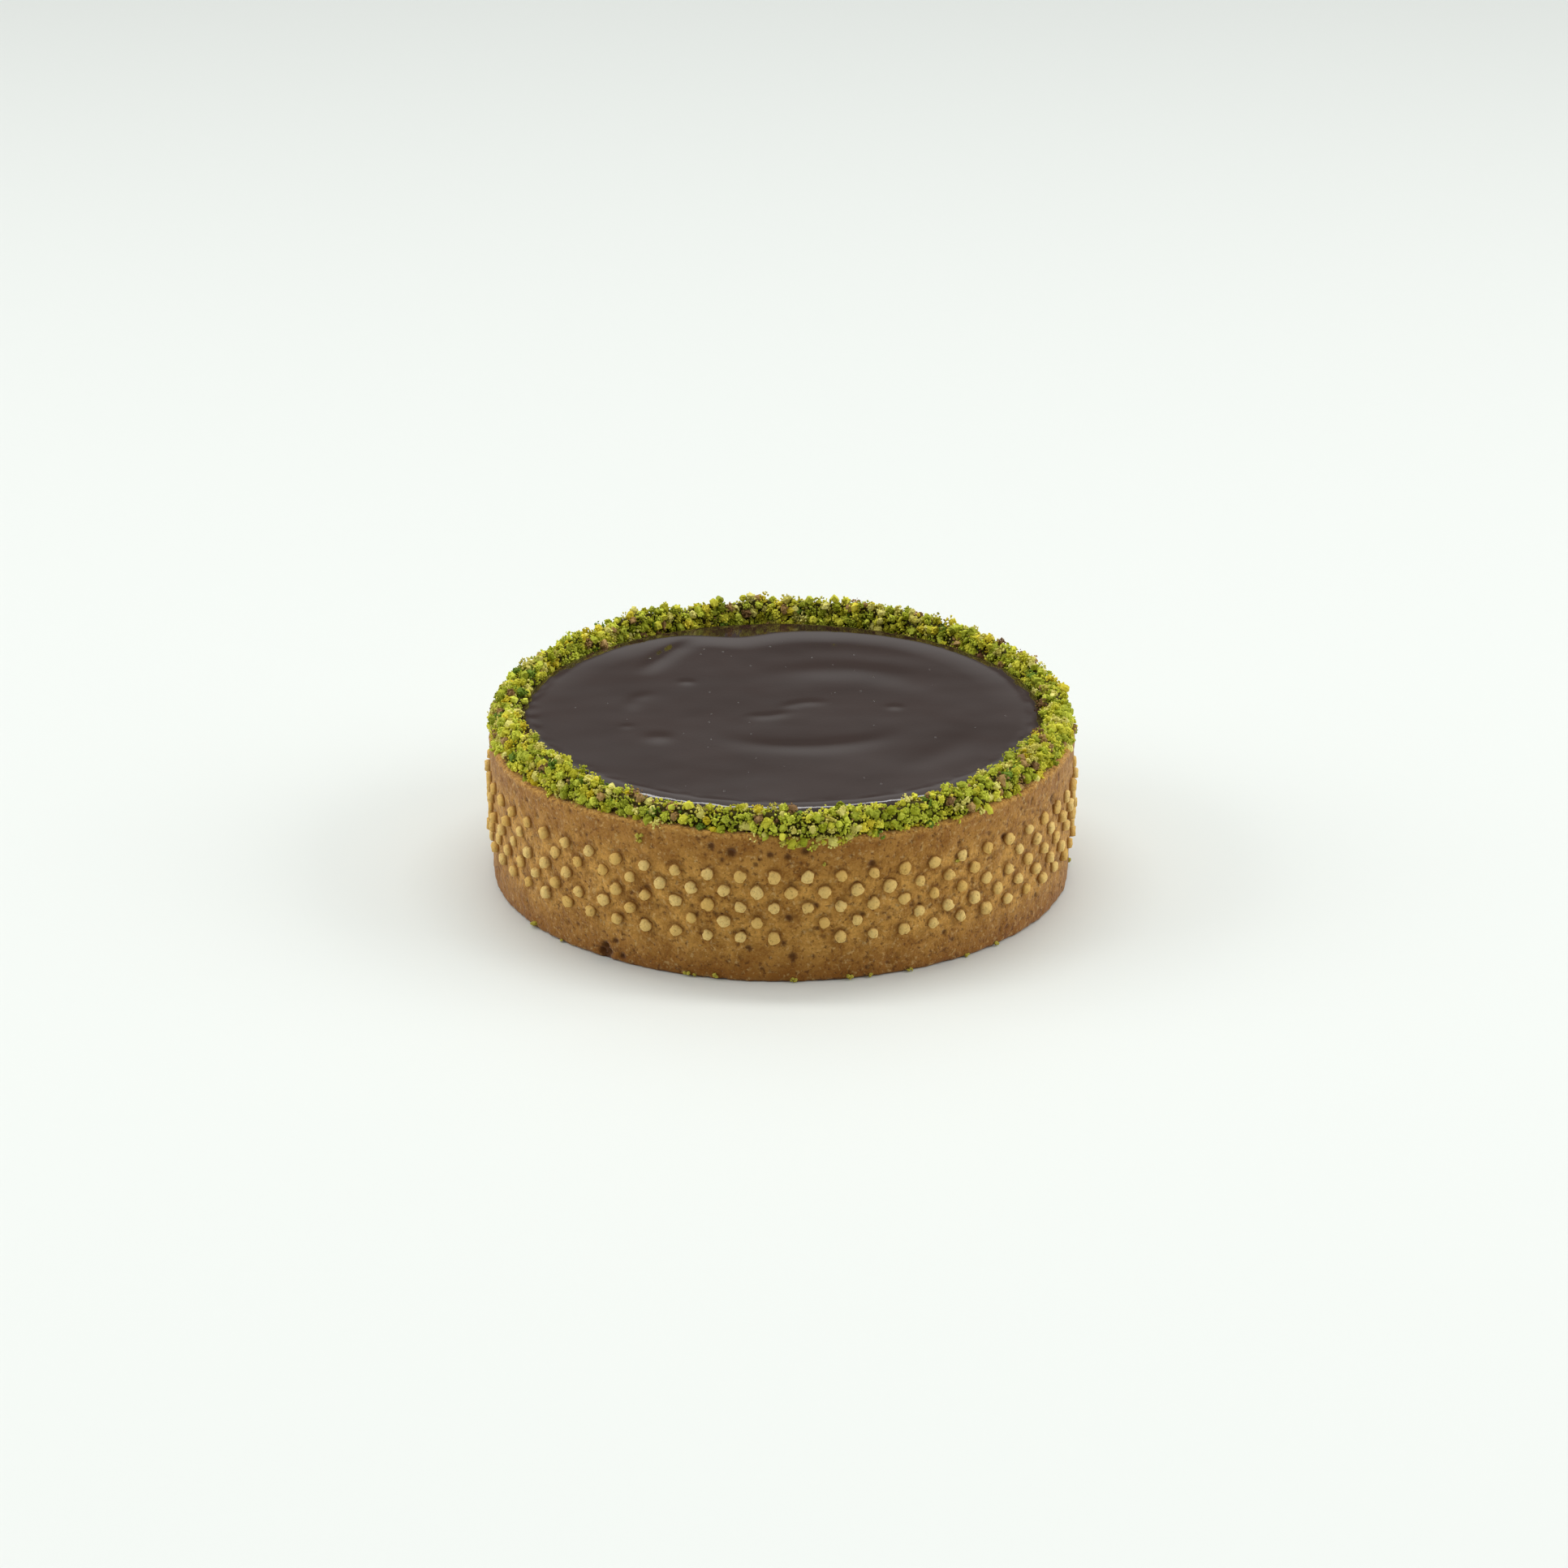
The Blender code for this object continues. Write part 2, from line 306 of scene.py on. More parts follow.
SMALL_PIT_DEPTH = 0.75
SMALL_PIT_ZONE = (1.2 * MM, CRUST_HEIGHT - 0.9 * MM)
PIT_STEEPNESS = 2.4


def all_pits():
    """(angle, height, radius, depth) of every pit, the ones that catch the eye first."""
    pits = [
        (math.radians(angle), level * MM, size * MM, deep * MM)
        for angle, level, size, deep in NAMED_PITS
    ]
    chance = random.Random(5)
    for _ in range(SMALL_PITS):
        size = chance.uniform(*SMALL_PIT_SIZES) * MM
        angle = chance.uniform(-math.pi, math.pi)
        pits.append((angle, chance.uniform(*SMALL_PIT_ZONE), size, SMALL_PIT_DEPTH * size))
    return pits


def pit_depth(angles, heights):
    """How deep the pits are at each point of the wall."""
    depth = np.zeros(len(angles))
    for angle, level, radius, deep in all_pits():
        off = from_direction(angles, angle)
        near = np.hypot(off * RING_RADIUS, heights - level) / radius
        depth = np.maximum(depth, deep * np.exp(-(near**PIT_STEEPNESS)))
    return depth


print("pits:", len(all_pits()))


# %% Shape the case
# rise and lump size in millimetres, and a seed
CASE_RELIEF = [(0.11, 9.0, 1), (0.10, 2.4, 2), (0.12, 0.9, 3)]
WALL_SKIN = 0.8 * MM
CREASE_RADIUS = 1.02 * MM
CREASE_WIDTH = 0.24 * MM
CREASE_DEPTH = 0.08 * MM
# share of the painted shade in the groove that lies below a nub, and how far above a nub it is full
SHADE_BELOW = 0.25
SHADE_FADE = 0.8 * MM
BLACK_PIT = 0.17 * MM
NUB_HALO = 1.35 * MM


def build_case():
    case = turned("pastry_case", case_profile(), CASE_COLUMNS)
    points = read_points(case.data)
    normals = read_points(case.data, "normal")
    radii = np.hypot(points[:, 0], points[:, 1])
    angles = np.arctan2(points[:, 0], -points[:, 1])
    heights = points[:, 2].copy()
    seen = radii > RING_RADIUS - WALL_THICKNESS + 0.5 * CLEAR_GAP
    relief = np.zeros(len(points))
    for rise, size, seed in CASE_RELIEF:
        relief[seen] += rise * MM * grain(points[seen], size * MM, seed)
    outer = radii > RING_RADIUS - WALL_SKIN
    pits = pit_depth(angles, heights) * outer
    away, above = from_nearest_nub(angles, heights)
    # the groove round each nub, which also carries the painted shade above it
    crease = np.exp(-(((away - CREASE_RADIUS) / CREASE_WIDTH) ** 2)) * outer
    relief -= pits + CREASE_DEPTH * crease
    relief[heights < 0.01 * MM] = 0
    lift = np.clip((heights - CRUST_HEIGHT / 2) / (CRUST_HEIGHT / 2), 0, 1)
    points += normals * relief[:, None]
    points[:, 2] += lift * (rim_height(angles) - CRUST_HEIGHT)
    points[:, 2] = np.maximum(points[:, 2], 0)
    write_points(case.data, points)
    # how dark each pit is painted: partly painted shade where light can't get in, partly scorch
    keep_value(case.data, "pit", np.clip(pits / BLACK_PIT, 0, 1))
    keep_value(case.data, "near_nub", np.exp(-((away / NUB_HALO) ** 4)))
    # painted shade in the groove above each nub, for the wall's colour
    keep_value(case.data, "crease", crease * np.clip(SHADE_BELOW + above / SHADE_FADE, 0, 1))
    keep_value(case.data, "level", heights / CRUST_HEIGHT)
    case.data.shade_smooth()
    return case


pastry_case = build_case()
print("pastry case:", len(pastry_case.data.polygons), "faces")

# %% [markdown]
# ## Small tools for node trees
#
# The buttons, the bubbles and the crumbs all repeat, so Geometry Nodes make them. Trees and materials
# are written with the same helper: it adds a node, sets its options, and joins or sets each input by
# the name that Blender shows on the node. That keeps a tree readable as a short list of steps.

# %% Node helpers
def add(tree, kind, inputs=None, **options):
    """A new node with these options, each input joined to a socket or set to a value."""
    made = tree.nodes.new(kind)
    for name, value in options.items():
        setattr(made, name, value)
    for name, value in (inputs or {}).items():
        if isinstance(name, int):
            socket = made.inputs[name]
        else:
            socket = next(s for s in made.inputs if s.enabled and s.name == name)
        if isinstance(value, bpy.types.NodeSocket):
            tree.links.new(value, socket)
        else:
            socket.default_value = value
    return made


def out(made, name=None):
    """The node's output of this name, or its first one in use."""
    return next(s for s in made.outputs if s.enabled and (name is None or s.name == name))


def calculate(tree, operation, first, second=0.0):
    return out(add(tree, "ShaderNodeMath", {0: first, 1: second}, operation=operation))


def times(tree, first, second):
    return calculate(tree, "MULTIPLY", first, second)


def plus(tree, first, second):
    return calculate(tree, "ADD", first, second)


def combine(tree, **parts):
    """A vector from the parts X, Y and Z."""
    return out(add(tree, "ShaderNodeCombineXYZ", parts))


def random_number(tree, low, high, seed):
    return out(add(tree, "FunctionNodeRandomValue", {"Min": low, "Max": high, "Seed": seed}))


def named_value(tree, name):
    """A value that the points of a geometry carry."""
    return out(add(tree, "GeometryNodeInputNamedAttribute", {"Name": name}, data_type="FLOAT"))


# %% Helpers for trees that set copies
def geometry_tree(name, inputs):
    """A Geometry Nodes tree with these named inputs, and its two end nodes."""
    tree = bpy.data.node_groups.new(name, "GeometryNodeTree")
    tree.interface.new_socket("Geometry", in_out="INPUT", socket_type="NodeSocketGeometry")
    for label, kind in inputs.items():
        tree.interface.new_socket(label, in_out="INPUT", socket_type=f"NodeSocket{kind}")
    tree.interface.new_socket("Geometry", in_out="OUTPUT", socket_type="NodeSocketGeometry")
    return tree, tree.nodes.new("NodeGroupInput"), tree.nodes.new("NodeGroupOutput")


def copies(tree, points, collection, size, seed, rotation=None):
    """One of the collection's shapes on each point, turned as given or else at random."""
    shapes = out(add(tree, "GeometryNodeCollectionInfo", {
        "Collection": collection, "Separate Children": True, "Reset Children": True,
    }))
    numbers = {"Min": 0, "Max": len(collection.objects) - 1, "Seed": seed}
    pick = out(add(tree, "FunctionNodeRandomValue", numbers, data_type="INT"))
    if rotation is None:
        any_way = {"Max": (math.tau,) * 3, "Seed": seed + 1}
        rotation = out(add(tree, "FunctionNodeRandomValue", any_way, data_type="FLOAT_VECTOR"))
    return out(add(tree, "GeometryNodeInstanceOnPoints", {
        "Points": points, "Instance": shapes, "Pick Instance": True, "Instance Index": pick,
        "Rotation": rotation, "Scale": size,
    }))


def keep_on_copies(tree, instances, name, seed):
    """Stores a random number from 0 to 1 on each copy, for its colour."""
    return out(add(tree, "GeometryNodeStoreNamedAttribute", {
        "Geometry": instances, "Name": name, "Value": random_number(tree, 0.0, 1.0, seed),
    }, data_type="FLOAT", domain="INSTANCE"))


def real(tree, instances):
    """The copies as one real mesh."""
    return out(add(tree, "GeometryNodeRealizeInstances", {"Geometry": instances}))


def hand_over(tree, instances, material, result):
    """Makes the copies real, gives them their material and joins them to the tree's output."""
    given = {"Geometry": real(tree, instances), "Material": material}
    tree.links.new(out(add(tree, "GeometryNodeSetMaterial", given)), result.inputs["Geometry"])


def grown(name, base_mesh, tree, values):
    """A plain mesh that the tree grows from the base mesh with these values for its inputs."""
    carrier = in_scene(name, base_mesh)
    modifier = carrier.modifiers.new(tree.name, "NODES")
    modifier.node_group = tree
    for socket in tree.interface.items_tree:
        if socket.in_out == "INPUT" and socket.name in values:
            modifier[socket.identifier] = values[socket.name]
    return as_plain_mesh(carrier)


def variant(collection, name, shape):
    """Stores a bmesh shape in the collection as one of the shapes to copy."""
    stored_shape = bpy.data.objects.new(name, as_mesh(name, shape))
    collection.objects.link(stored_shape)
    return stored_shape


# %% [markdown]
# ## The nubs
#
# A nub is a low button with a nearly flat, rough top and sides that flare into the wall. No two are
# alike, so six lopsided shapes are made, and each hole gets one of them at random, turned and scaled a
# little. A vertex value called rise runs from 0 at the foot to 1 on top, because only the top is pale:
# the sides browned.

# %% Six button shapes
BUTTON_SHAPES = 6
NUB_SIDES = 14
# width, height and paleness of each ring of the button, from the foot up
NUB_RINGS = [(1.12, -0.45, 0.0), (1.04, 0.10, 0.15), (0.97, 0.62, 0.80), (0.80, 0.95, 1.0)]
CROWN_HEIGHT = 0.98
EDGE_WOBBLE = 0.22
EDGE_NOTCHES = 0.20
CROWN_BUMPS = 0.16


def rough(turn, size, place):
    """A smooth random value that changes round a button and meets itself."""
    return noise.noise(Vector((size * math.cos(turn), size * math.sin(turn), place)))


def button(seed):
    """A bmesh button one unit wide in radius and one unit high, standing on the XY plane."""
    shape = bmesh.new()
    rise = shape.verts.layers.float.new("rise")
    rings = []
    for width, height, pale in NUB_RINGS:
        ring = []
        for side in range(NUB_SIDES):
            turn = math.tau * side / NUB_SIDES
            edge = rough(turn, 1.3, seed * 7.1)
            notch = rough(turn, 2.9, seed * 5.7)
            bump = rough(turn, 2, seed * 3.3 + 9)
            reach = width * (1 + EDGE_WOBBLE * edge + EDGE_NOTCHES * notch)
            top = height + CROWN_BUMPS * bump * pale
            made = shape.verts.new((reach * math.cos(turn), reach * math.sin(turn), top))
            made[rise] = pale
            ring.append(made)
        rings.append(ring)
    crown = shape.verts.new((0, 0, CROWN_HEIGHT))
    crown[rise] = 1.0
    for side in range(NUB_SIDES):
        after = (side + 1) % NUB_SIDES
        for low, high in zip(rings, rings[1:]):
            shape.faces.new((low[side], low[after], high[after], high[side]))
        shape.faces.new((rings[-1][side], rings[-1][after], crown))
    shape.faces.new(list(reversed(rings[0])))
    return shape


button_shapes = bpy.data.collections.new("button shapes")
for seed in range(BUTTON_SHAPES):
    variant(button_shapes, f"button_{seed}", button(seed))


# %% Tree that sets a button in each hole
NUB_WIDTHS = (0.86, 1.1)
NUB_HEIGHTS = (0.62, 1.08)


def hole_places(tree, value):
    """Where the holes are, worked out from a point's number, which gives its row and its column."""
    index = out(add(tree, "GeometryNodeInputIndex"))
    row = calculate(tree, "FLOOR", calculate(tree, "DIVIDE", index, value["Columns"]))
    column = calculate(tree, "MODULO", index, value["Columns"])
    stagger = times(tree, calculate(tree, "MODULO", row, 2.0), 0.5)
    pitch = calculate(tree, "DIVIDE", math.tau, value["Columns"])
    angle = plus(tree, times(tree, plus(tree, column, stagger), pitch), value["Turn"])
    height = plus(tree, times(tree, row, value["Row spacing"]), value["Lowest row"])
    radius = plus(tree, value["Foot radius"], times(tree, height, value["Taper"]))
    sine = calculate(tree, "SINE", angle)
    cosine = times(tree, calculate(tree, "COSINE", angle), -1.0)
    outwards = {0: combine(tree, X=sine, Y=cosine), "Scale": radius}
    flat = out(add(tree, "ShaderNodeVectorMath", outwards, operation="SCALE"))
    return out(add(tree, "ShaderNodeVectorMath", {0: flat, 1: combine(tree, Z=height)}, operation="ADD"))


def nub_tree():
    numbers = ["Turn", "Lowest row", "Row spacing", "Foot radius", "Taper", "Nub radius", "Nub height"]
    inputs = {"Columns": "Int", "Rows": "Int"} | {name: "Float" for name in numbers}
    inputs |= {"Missing share": "Float", "Seed": "Int", "Gaps": "Object", "Material": "Material"}
    tree, given, result = geometry_tree("Nubs in the ring's holes", inputs)
    value = {name: given.outputs[name] for name in inputs}
    place = hole_places(tree, value)
    count = times(tree, value["Columns"], value["Rows"])
    holes = out(add(tree, "GeometryNodePoints", {"Count": count, "Position": place}))
    gaps = out(add(tree, "GeometryNodeObjectInfo", {"Object": value["Gaps"]}), "Geometry")
    nearest = {"Geometry": gaps, "Sample Position": place}
    to_gap = out(add(tree, "GeometryNodeProximity", nearest, target_element="POINTS"), "Distance")
    in_gap = calculate(tree, "LESS_THAN", to_gap, value["Nub radius"])
    draw = random_number(tree, 0.0, 1.0, value["Seed"])
    unfilled = calculate(tree, "LESS_THAN", draw, value["Missing share"])
    drop = {"Geometry": holes, "Selection": calculate(tree, "MAXIMUM", in_gap, unfilled)}
    filled = out(add(tree, "GeometryNodeDeleteGeometry", drop))
    here = add(tree, "ShaderNodeSeparateXYZ", {"Vector": out(add(tree, "GeometryNodeInputPosition"))})
    facing = combine(tree, X=out(here, "X"), Y=out(here, "Y"))
    upright = out(add(tree, "FunctionNodeAlignRotationToVector", {"Vector": facing}, axis="Z"))
    spin = combine(tree, Z=random_number(tree, 0.0, math.tau, value["Seed"]))
    turns = {"Rotation": upright, "Rotate By": spin}
    rotation = out(add(tree, "FunctionNodeRotateRotation", turns, rotation_space="LOCAL"))
    wide = times(tree, value["Nub radius"], random_number(tree, *NUB_WIDTHS, 21))
    tall = times(tree, value["Nub height"], random_number(tree, *NUB_HEIGHTS, 22))
    buttons = copies(tree, filled, button_shapes, combine(tree, X=wide, Y=wide, Z=tall), 23, rotation)
    hand_over(tree, keep_on_copies(tree, buttons, "tone", 24), value["Material"], result)
    return tree


nub_nodes = nub_tree()
print("nub tree:", len(nub_nodes.nodes), "nodes")

# %% [markdown]
# ## A grain that pastry and nubs share
#
# Baked dough is never one brown. It has patches where the butter browned, dark specks of caramel and
# pale specks of flour. Case and nubs show the same grain in other colours, so the grain is one node
# group that puts out masks and a height, and each material decides what to do with them. The Principled
# shader stays in the material.

# %% Shared grain group
def shader_group(name, inputs, outputs):
    """A shader node group with these named sockets, and its two end nodes."""
    group = bpy.data.node_groups.new(name, "ShaderNodeTree")
    for label, kind in inputs.items():
        group.interface.new_socket(label, in_out="INPUT", socket_type=f"NodeSocket{kind}")
    for label in outputs:
        group.interface.new_socket(label, in_out="OUTPUT", socket_type="NodeSocketFloat")
    return group, group.nodes.new("NodeGroupInput"), group.nodes.new("NodeGroupOutput")


def lumps(tree, place, size, detail=2.0, roughness=0.5):
    """Noise whose lumps are of this size in metres, from 0 to 1."""
    scale = calculate(tree, "DIVIDE", 1.0, size)
    inputs = {"Vector": place, "Scale": scale, "Detail": detail, "Roughness": roughness}
    return out(add(tree, "ShaderNodeTexNoise", inputs))


def between(tree, value, low, high):
    """The value as a mask that goes from 0 to 1 as it passes from low to high."""
    return out(add(tree, "ShaderNodeMapRange", {"Value": value, "From Min": low, "From Max": high}))


# where each mask starts and where it is full, on the noise's own scale
PATCH_EDGES = SAND_EDGES = (0.36, 0.64)
DARK_SPECK_EDGES = (0.45, 0.33)
PALE_SPECK_EDGES = (0.57, 0.70)
FINE_SHARE = 0.6


def baked_grain():
    inputs = {"Vector": "Vector", "Patch size": "Float", "Speck size": "Float"}
    outputs = ["Patches", "Sand", "Dark specks", "Pale specks", "Height"]
    group, given, result = shader_group("Baked grain", inputs, outputs)
    place = given.outputs["Vector"]
    speck_size = given.outputs["Speck size"]
    patch = lumps(group, place, given.outputs["Patch size"], 3.0, 0.6)
    speck = lumps(group, place, speck_size, 3.0, 0.65)
    shift = {0: place, 1: (0.31, 0.17, 0.23)}
    moved = out(add(group, "ShaderNodeVectorMath", shift, operation="ADD"))
    pale = lumps(group, moved, speck_size, 2.0, 0.6)
    fine = lumps(group, moved, times(group, speck_size, FINE_SHARE), 2.0, 0.7)
    masks = [
        between(group, patch, *PATCH_EDGES),
        between(group, fine, *SAND_EDGES),
        between(group, speck, *DARK_SPECK_EDGES),
        between(group, pale, *PALE_SPECK_EDGES),
        plus(group, speck, times(group, fine, FINE_SHARE)),
    ]
    for label, mask in zip(outputs, masks):
        group.links.new(mask, result.inputs[label])
    return group


grain_group = baked_grain()
print("grain outputs:", [s.name for s in grain_group.interface.items_tree if s.in_out == "OUTPUT"])


# %% Material helpers
def new_material(name, roughness, gloss=0.5):
    """A material with its own Principled shader, which gets the values that are the same all over."""
    made = bpy.data.materials.new(name)
    made.use_nodes = True
    shader = made.node_tree.nodes["Principled BSDF"]
    shader.inputs["Roughness"].default_value = roughness
    shader.inputs["Specular IOR Level"].default_value = gloss
    return made, made.node_tree, shader


def object_place(tree):
    return out(add(tree, "ShaderNodeTexCoord"), "Object")


def blend(tree, mask, under, over, share=1.0):
    """One colour over another, as far as the mask and the share say."""
    def as_input(colour):
        return colour if isinstance(colour, bpy.types.NodeSocket) else (*colour, 1)
    amount = mask if share == 1.0 else times(tree, mask, share)
    mixed = {"Factor": amount, "A": as_input(under), "B": as_input(over)}
    return out(add(tree, "ShaderNodeMix", mixed, data_type="RGBA"))


def stored(tree, name):
    """A value that was kept on the piece's vertices."""
    return out(add(tree, "ShaderNodeAttribute", attribute_name=name), "Fac")


def raise_by(tree, shader, height, distance):
    """Bumps in the shading, of this height in metres."""
    bump = add(tree, "ShaderNodeBump", {"Height": height, "Distance": distance, "Strength": 1.0})
    tree.links.new(out(bump), shader.inputs["Normal"])


# %% [markdown]
# ## Pastry and nub finishes
#
# The wall is a mid brown that is a little redder round each nub, where the dough was squeezed and
# browned most. Pits are painted dark, partly as painted shade where light can't get into them and
# partly because they scorch. A painted shade lies in the groove above each nub, and a painted
# highlight along the rounded top edge. Rim and foot are darker than the middle of the wall. The
# nubs' tops stood free in the holes and stayed the colour of a biscuit. A little sheen lightens the
# wall where it turns away from the eye, as a film of flour does.

# %% Finishes of the case
WALL_BROWN = (0.290, 0.120, 0.014)
WALL_TAN = (0.790, 0.430, 0.096)
RED_BROWN = (0.260, 0.090, 0.008)
# dark scorch specks, and painted shade in the pits and in the groove above each nub
SCORCH_AND_SHADE = (0.090, 0.028, 0.004)
FLOUR_PALE = (0.840, 0.600, 0.250)
# painted highlight where the rounded top edge catches the light from above
RIM_HIGHLIGHT = (0.600, 0.320, 0.070)
NUB_PALE = (0.960, 0.710, 0.270)
NUB_GOLD = (0.810, 0.510, 0.140)
PASTRY_GLOSS = 0.18
PASTRY_SHEEN = 0.15
# sizes of patches and specks in millimetres
WALL_GRAIN = (2.8, 0.62)
NUB_GRAIN = (1.2, 0.4)
PATCH_SHARE = 0.56
SAND_SHARE = 0.36
# parts of the wall's height where the darker foot, the darker rim and the painted highlight on the top
# edge begin and are full
FOOT_ZONE = (0.32, 0.04)
RIM_ZONE = (0.68, 0.90)
RIM_HIGHLIGHT_ZONE = (0.955, 0.985)


def baked(tree, patch_size, speck_size):
    """The shared grain at these sizes in millimetres, on the piece's own coordinates."""
    sizes = {"Vector": object_place(tree), "Patch size": patch_size * MM, "Speck size": speck_size * MM}
    return add(tree, "ShaderNodeGroup", sizes, node_tree=grain_group)


def pastry_finish():
    material, tree, shader = new_material("baked_pastry_wall", 0.78, PASTRY_GLOSS)
    shader.inputs["Sheen Weight"].default_value = PASTRY_SHEEN
    dough = baked(tree, *WALL_GRAIN)
    level = stored(tree, "level")
    sand = out(dough, "Sand")
    patches = times(tree, out(dough, "Patches"), PATCH_SHARE)
    colour = blend(tree, plus(tree, patches, times(tree, sand, SAND_SHARE)), WALL_BROWN, WALL_TAN)
    foot = times(tree, between(tree, level, *FOOT_ZONE), 0.80)
    rim = times(tree, between(tree, level, *RIM_ZONE), 0.55)
    # mask, colour and share of what lies over the mottled brown, from the lowest up
    layers = [
        (stored(tree, "near_nub"), RED_BROWN, 0.18),
        (plus(tree, foot, rim), RED_BROWN, 1.0),
        # painted highlight along the rounded top edge
        (times(tree, between(tree, level, *RIM_HIGHLIGHT_ZONE), sand), RIM_HIGHLIGHT, 1.0),
        (out(dough, "Dark specks"), SCORCH_AND_SHADE, 0.70),
        (out(dough, "Pale specks"), FLOUR_PALE, 0.36),
        # painted shade in the groove above each nub
        (stored(tree, "crease"), SCORCH_AND_SHADE, 0.35),
        # pits painted dark: partly painted shade, partly scorch
        (stored(tree, "pit"), SCORCH_AND_SHADE, 0.85),
    ]
    for mask, over, share in layers:
        colour = blend(tree, mask, colour, over, share)
    tree.links.new(colour, shader.inputs["Base Color"])
    raise_by(tree, shader, out(dough, "Height"), 0.20 * MM)
    return material


def nub_finish():
    material, tree, shader = new_material("baked_pastry_nub", 0.80, PASTRY_GLOSS)
    dough = baked(tree, *NUB_GRAIN)
    top = blend(tree, stored(tree, "tone"), NUB_GOLD, NUB_PALE)
    top = blend(tree, out(dough, "Sand"), top, NUB_GOLD, 0.6)
    colour = blend(tree, between(tree, stored(tree, "rise"), 0.0, 0.8), RED_BROWN, top)
    colour = blend(tree, out(dough, "Dark specks"), colour, RED_BROWN, 0.45)
    tree.links.new(colour, shader.inputs["Base Color"])
    raise_by(tree, shader, out(dough, "Height"), 0.18 * MM)
    return material


pastry_case.data.materials.append(pastry_finish())
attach(pastry_case, "root")
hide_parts("crust")
print("finished:", pastry_case.name)


# %% Set the nubs on the wall
def missing_marks():
    """A mark on the wall at each hole that the dough never filled."""
    marks = bpy.data.meshes.new("missing_marks")
    places = [nub_place(row, column) for row, column in MISSING_NUBS]
    marks.from_pydata([at(angle, wall_radius(height), height) for angle, height in places], [], [])
    return bpy.data.objects.new("missing_marks", marks)


gap_marks = missing_marks()
nubs = grown("pastry_nubs", bpy.data.meshes.new("pastry_nubs"), nub_nodes, {
    "Columns": NUB_COLUMNS,
    "Rows": NUB_ROWS,
    "Turn": NUB_TURN,
    "Lowest row": LOWEST_ROW,
    "Row spacing": ROW_SPACING,
    "Foot radius": wall_radius(0),
    "Taper": WALL_TAPER / CRUST_HEIGHT,
    "Nub radius": NUB_RADIUS,
    "Nub height": NUB_HEIGHT,
    "Missing share": 0.03,
    "Seed": 8,
    "Gaps": gap_marks,
    "Material": nub_finish(),
})
nubs.data.shade_smooth()
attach(nubs, "root")
print("nubs:", len(nubs.data.polygons), "faces")

# %% [markdown]
# ## The chocolate filling
#
# The glaze was poured until it stood above the rim, so its edge rounds over like water in a full glass.
# It set with the marks of the pouring still in it: soft arcs a tenth or two of a millimetre high, a
# ridge near the back and a few dimples. Marks so low are seen only in the reflections, which is why
# they have to be real relief and not colour.

# %% Profile of the filling
EDGE_WIDTH = 2.4 * MM
EDGE_STEPS = 16
EDGE_FULLNESS = 0.8
TOP_RING = 0.36 * MM
FILLING_COLUMNS = 320


def filling_profile():
    """(radius, height) from the middle of the top, over the rounded edge and down to the underside."""
    flat = [(radius, GLAZE_TOP) for radius in np.arange(0, FILLING_RADIUS - EDGE_WIDTH, TOP_RING)]
    edge = []
    for turn in np.linspace(0, math.pi / 2, EDGE_STEPS):
        drop = EDGE_WIDTH * (1 - math.cos(turn) ** EDGE_FULLNESS)
        edge.append((FILLING_RADIUS - EDGE_WIDTH * (1 - math.sin(turn)), GLAZE_TOP - drop))
    under = FLOOR_THICKNESS + CLEAR_GAP
    return flat + edge + [(FILLING_RADIUS, under), (0, under)]


# %% Marks of the pouring
# centre, radius, start and end in degrees from +X, rise and width, all lengths in millimetres
POURED_ARCS = [
    (8.0, 3.0, 12.5, 15, 150, 0.170, 3.2),
    (8.0, 3.0, 20.0, 45, 125, 0.080, 3.4),
    (2.6, 4.0, 18.5, 225, 325, 0.140, 2.2),
    (38.8, -4.3, 60.7, 146, 164, 0.260, 1.6),
    (-3.0, 1.5, 4.5, 235, 345, 0.080, 1.2),
    (4.5, -2.5, 5.0, 60, 165, 0.075, 1.2),
    (-14.0, 1.0, 6.5, 120, 205, 0.080, 1.3),
    (0.0, 0.0, 27.0, 300, 350, 0.080, 2.6),
]
ARC_FADE = 1.25
# centre, rise and width in millimetres
DIMPLES = [
    (-13.3, 10.3, 0.080, 1.0),
    (15.5, 0.8, 0.080, 1.0),
    (-16.5, -11.2, 0.110, 1.7),
    (-21.0, -7.0, 0.040, 0.8),
]


def poured_relief(x, y):
    """Height of the marks above the level glaze, in metres."""
    height = np.zeros(len(x))
    for centre_x, centre_y, radius, start, end, rise, width in POURED_ARCS:
        away_x = x - centre_x * MM
        away_y = y - centre_y * MM
        middle = math.radians((start + end) / 2)
        half = math.radians((end - start) / 2)
        off = np.abs(from_direction(np.arctan2(away_y, away_x), middle))
        along = np.clip(ARC_FADE * (1 - off / half), 0, 1)
        across = (np.hypot(away_x, away_y) - radius * MM) / (width * MM)
        height += rise * MM * (3 * along**2 - 2 * along**3) * np.exp(-(across**2))
    for centre_x, centre_y, rise, width in DIMPLES:
        away = np.hypot(x - centre_x * MM, y - centre_y * MM) / (width * MM)
        height += rise * MM * np.exp(-(away**2))
    return height


print("pouring marks:", len(POURED_ARCS) + len(DIMPLES))


# %% Ridge near the back
RIDGE_RISE = 0.34 * MM
RIDGE_RADIUS = 33.2 * MM
RIDGE_RAMP = 4.5 * MM
RIDGE_TURN = math.radians(15)
RIDGE_ENDS = 0.3
BACK_INWARDS = 2.3 * MM
BACK_SPREAD = math.radians(26)
DIP_INWARDS = 2.8 * MM
DIP_ANGLE = math.radians(-167)
DIP_SPREAD = math.radians(11)


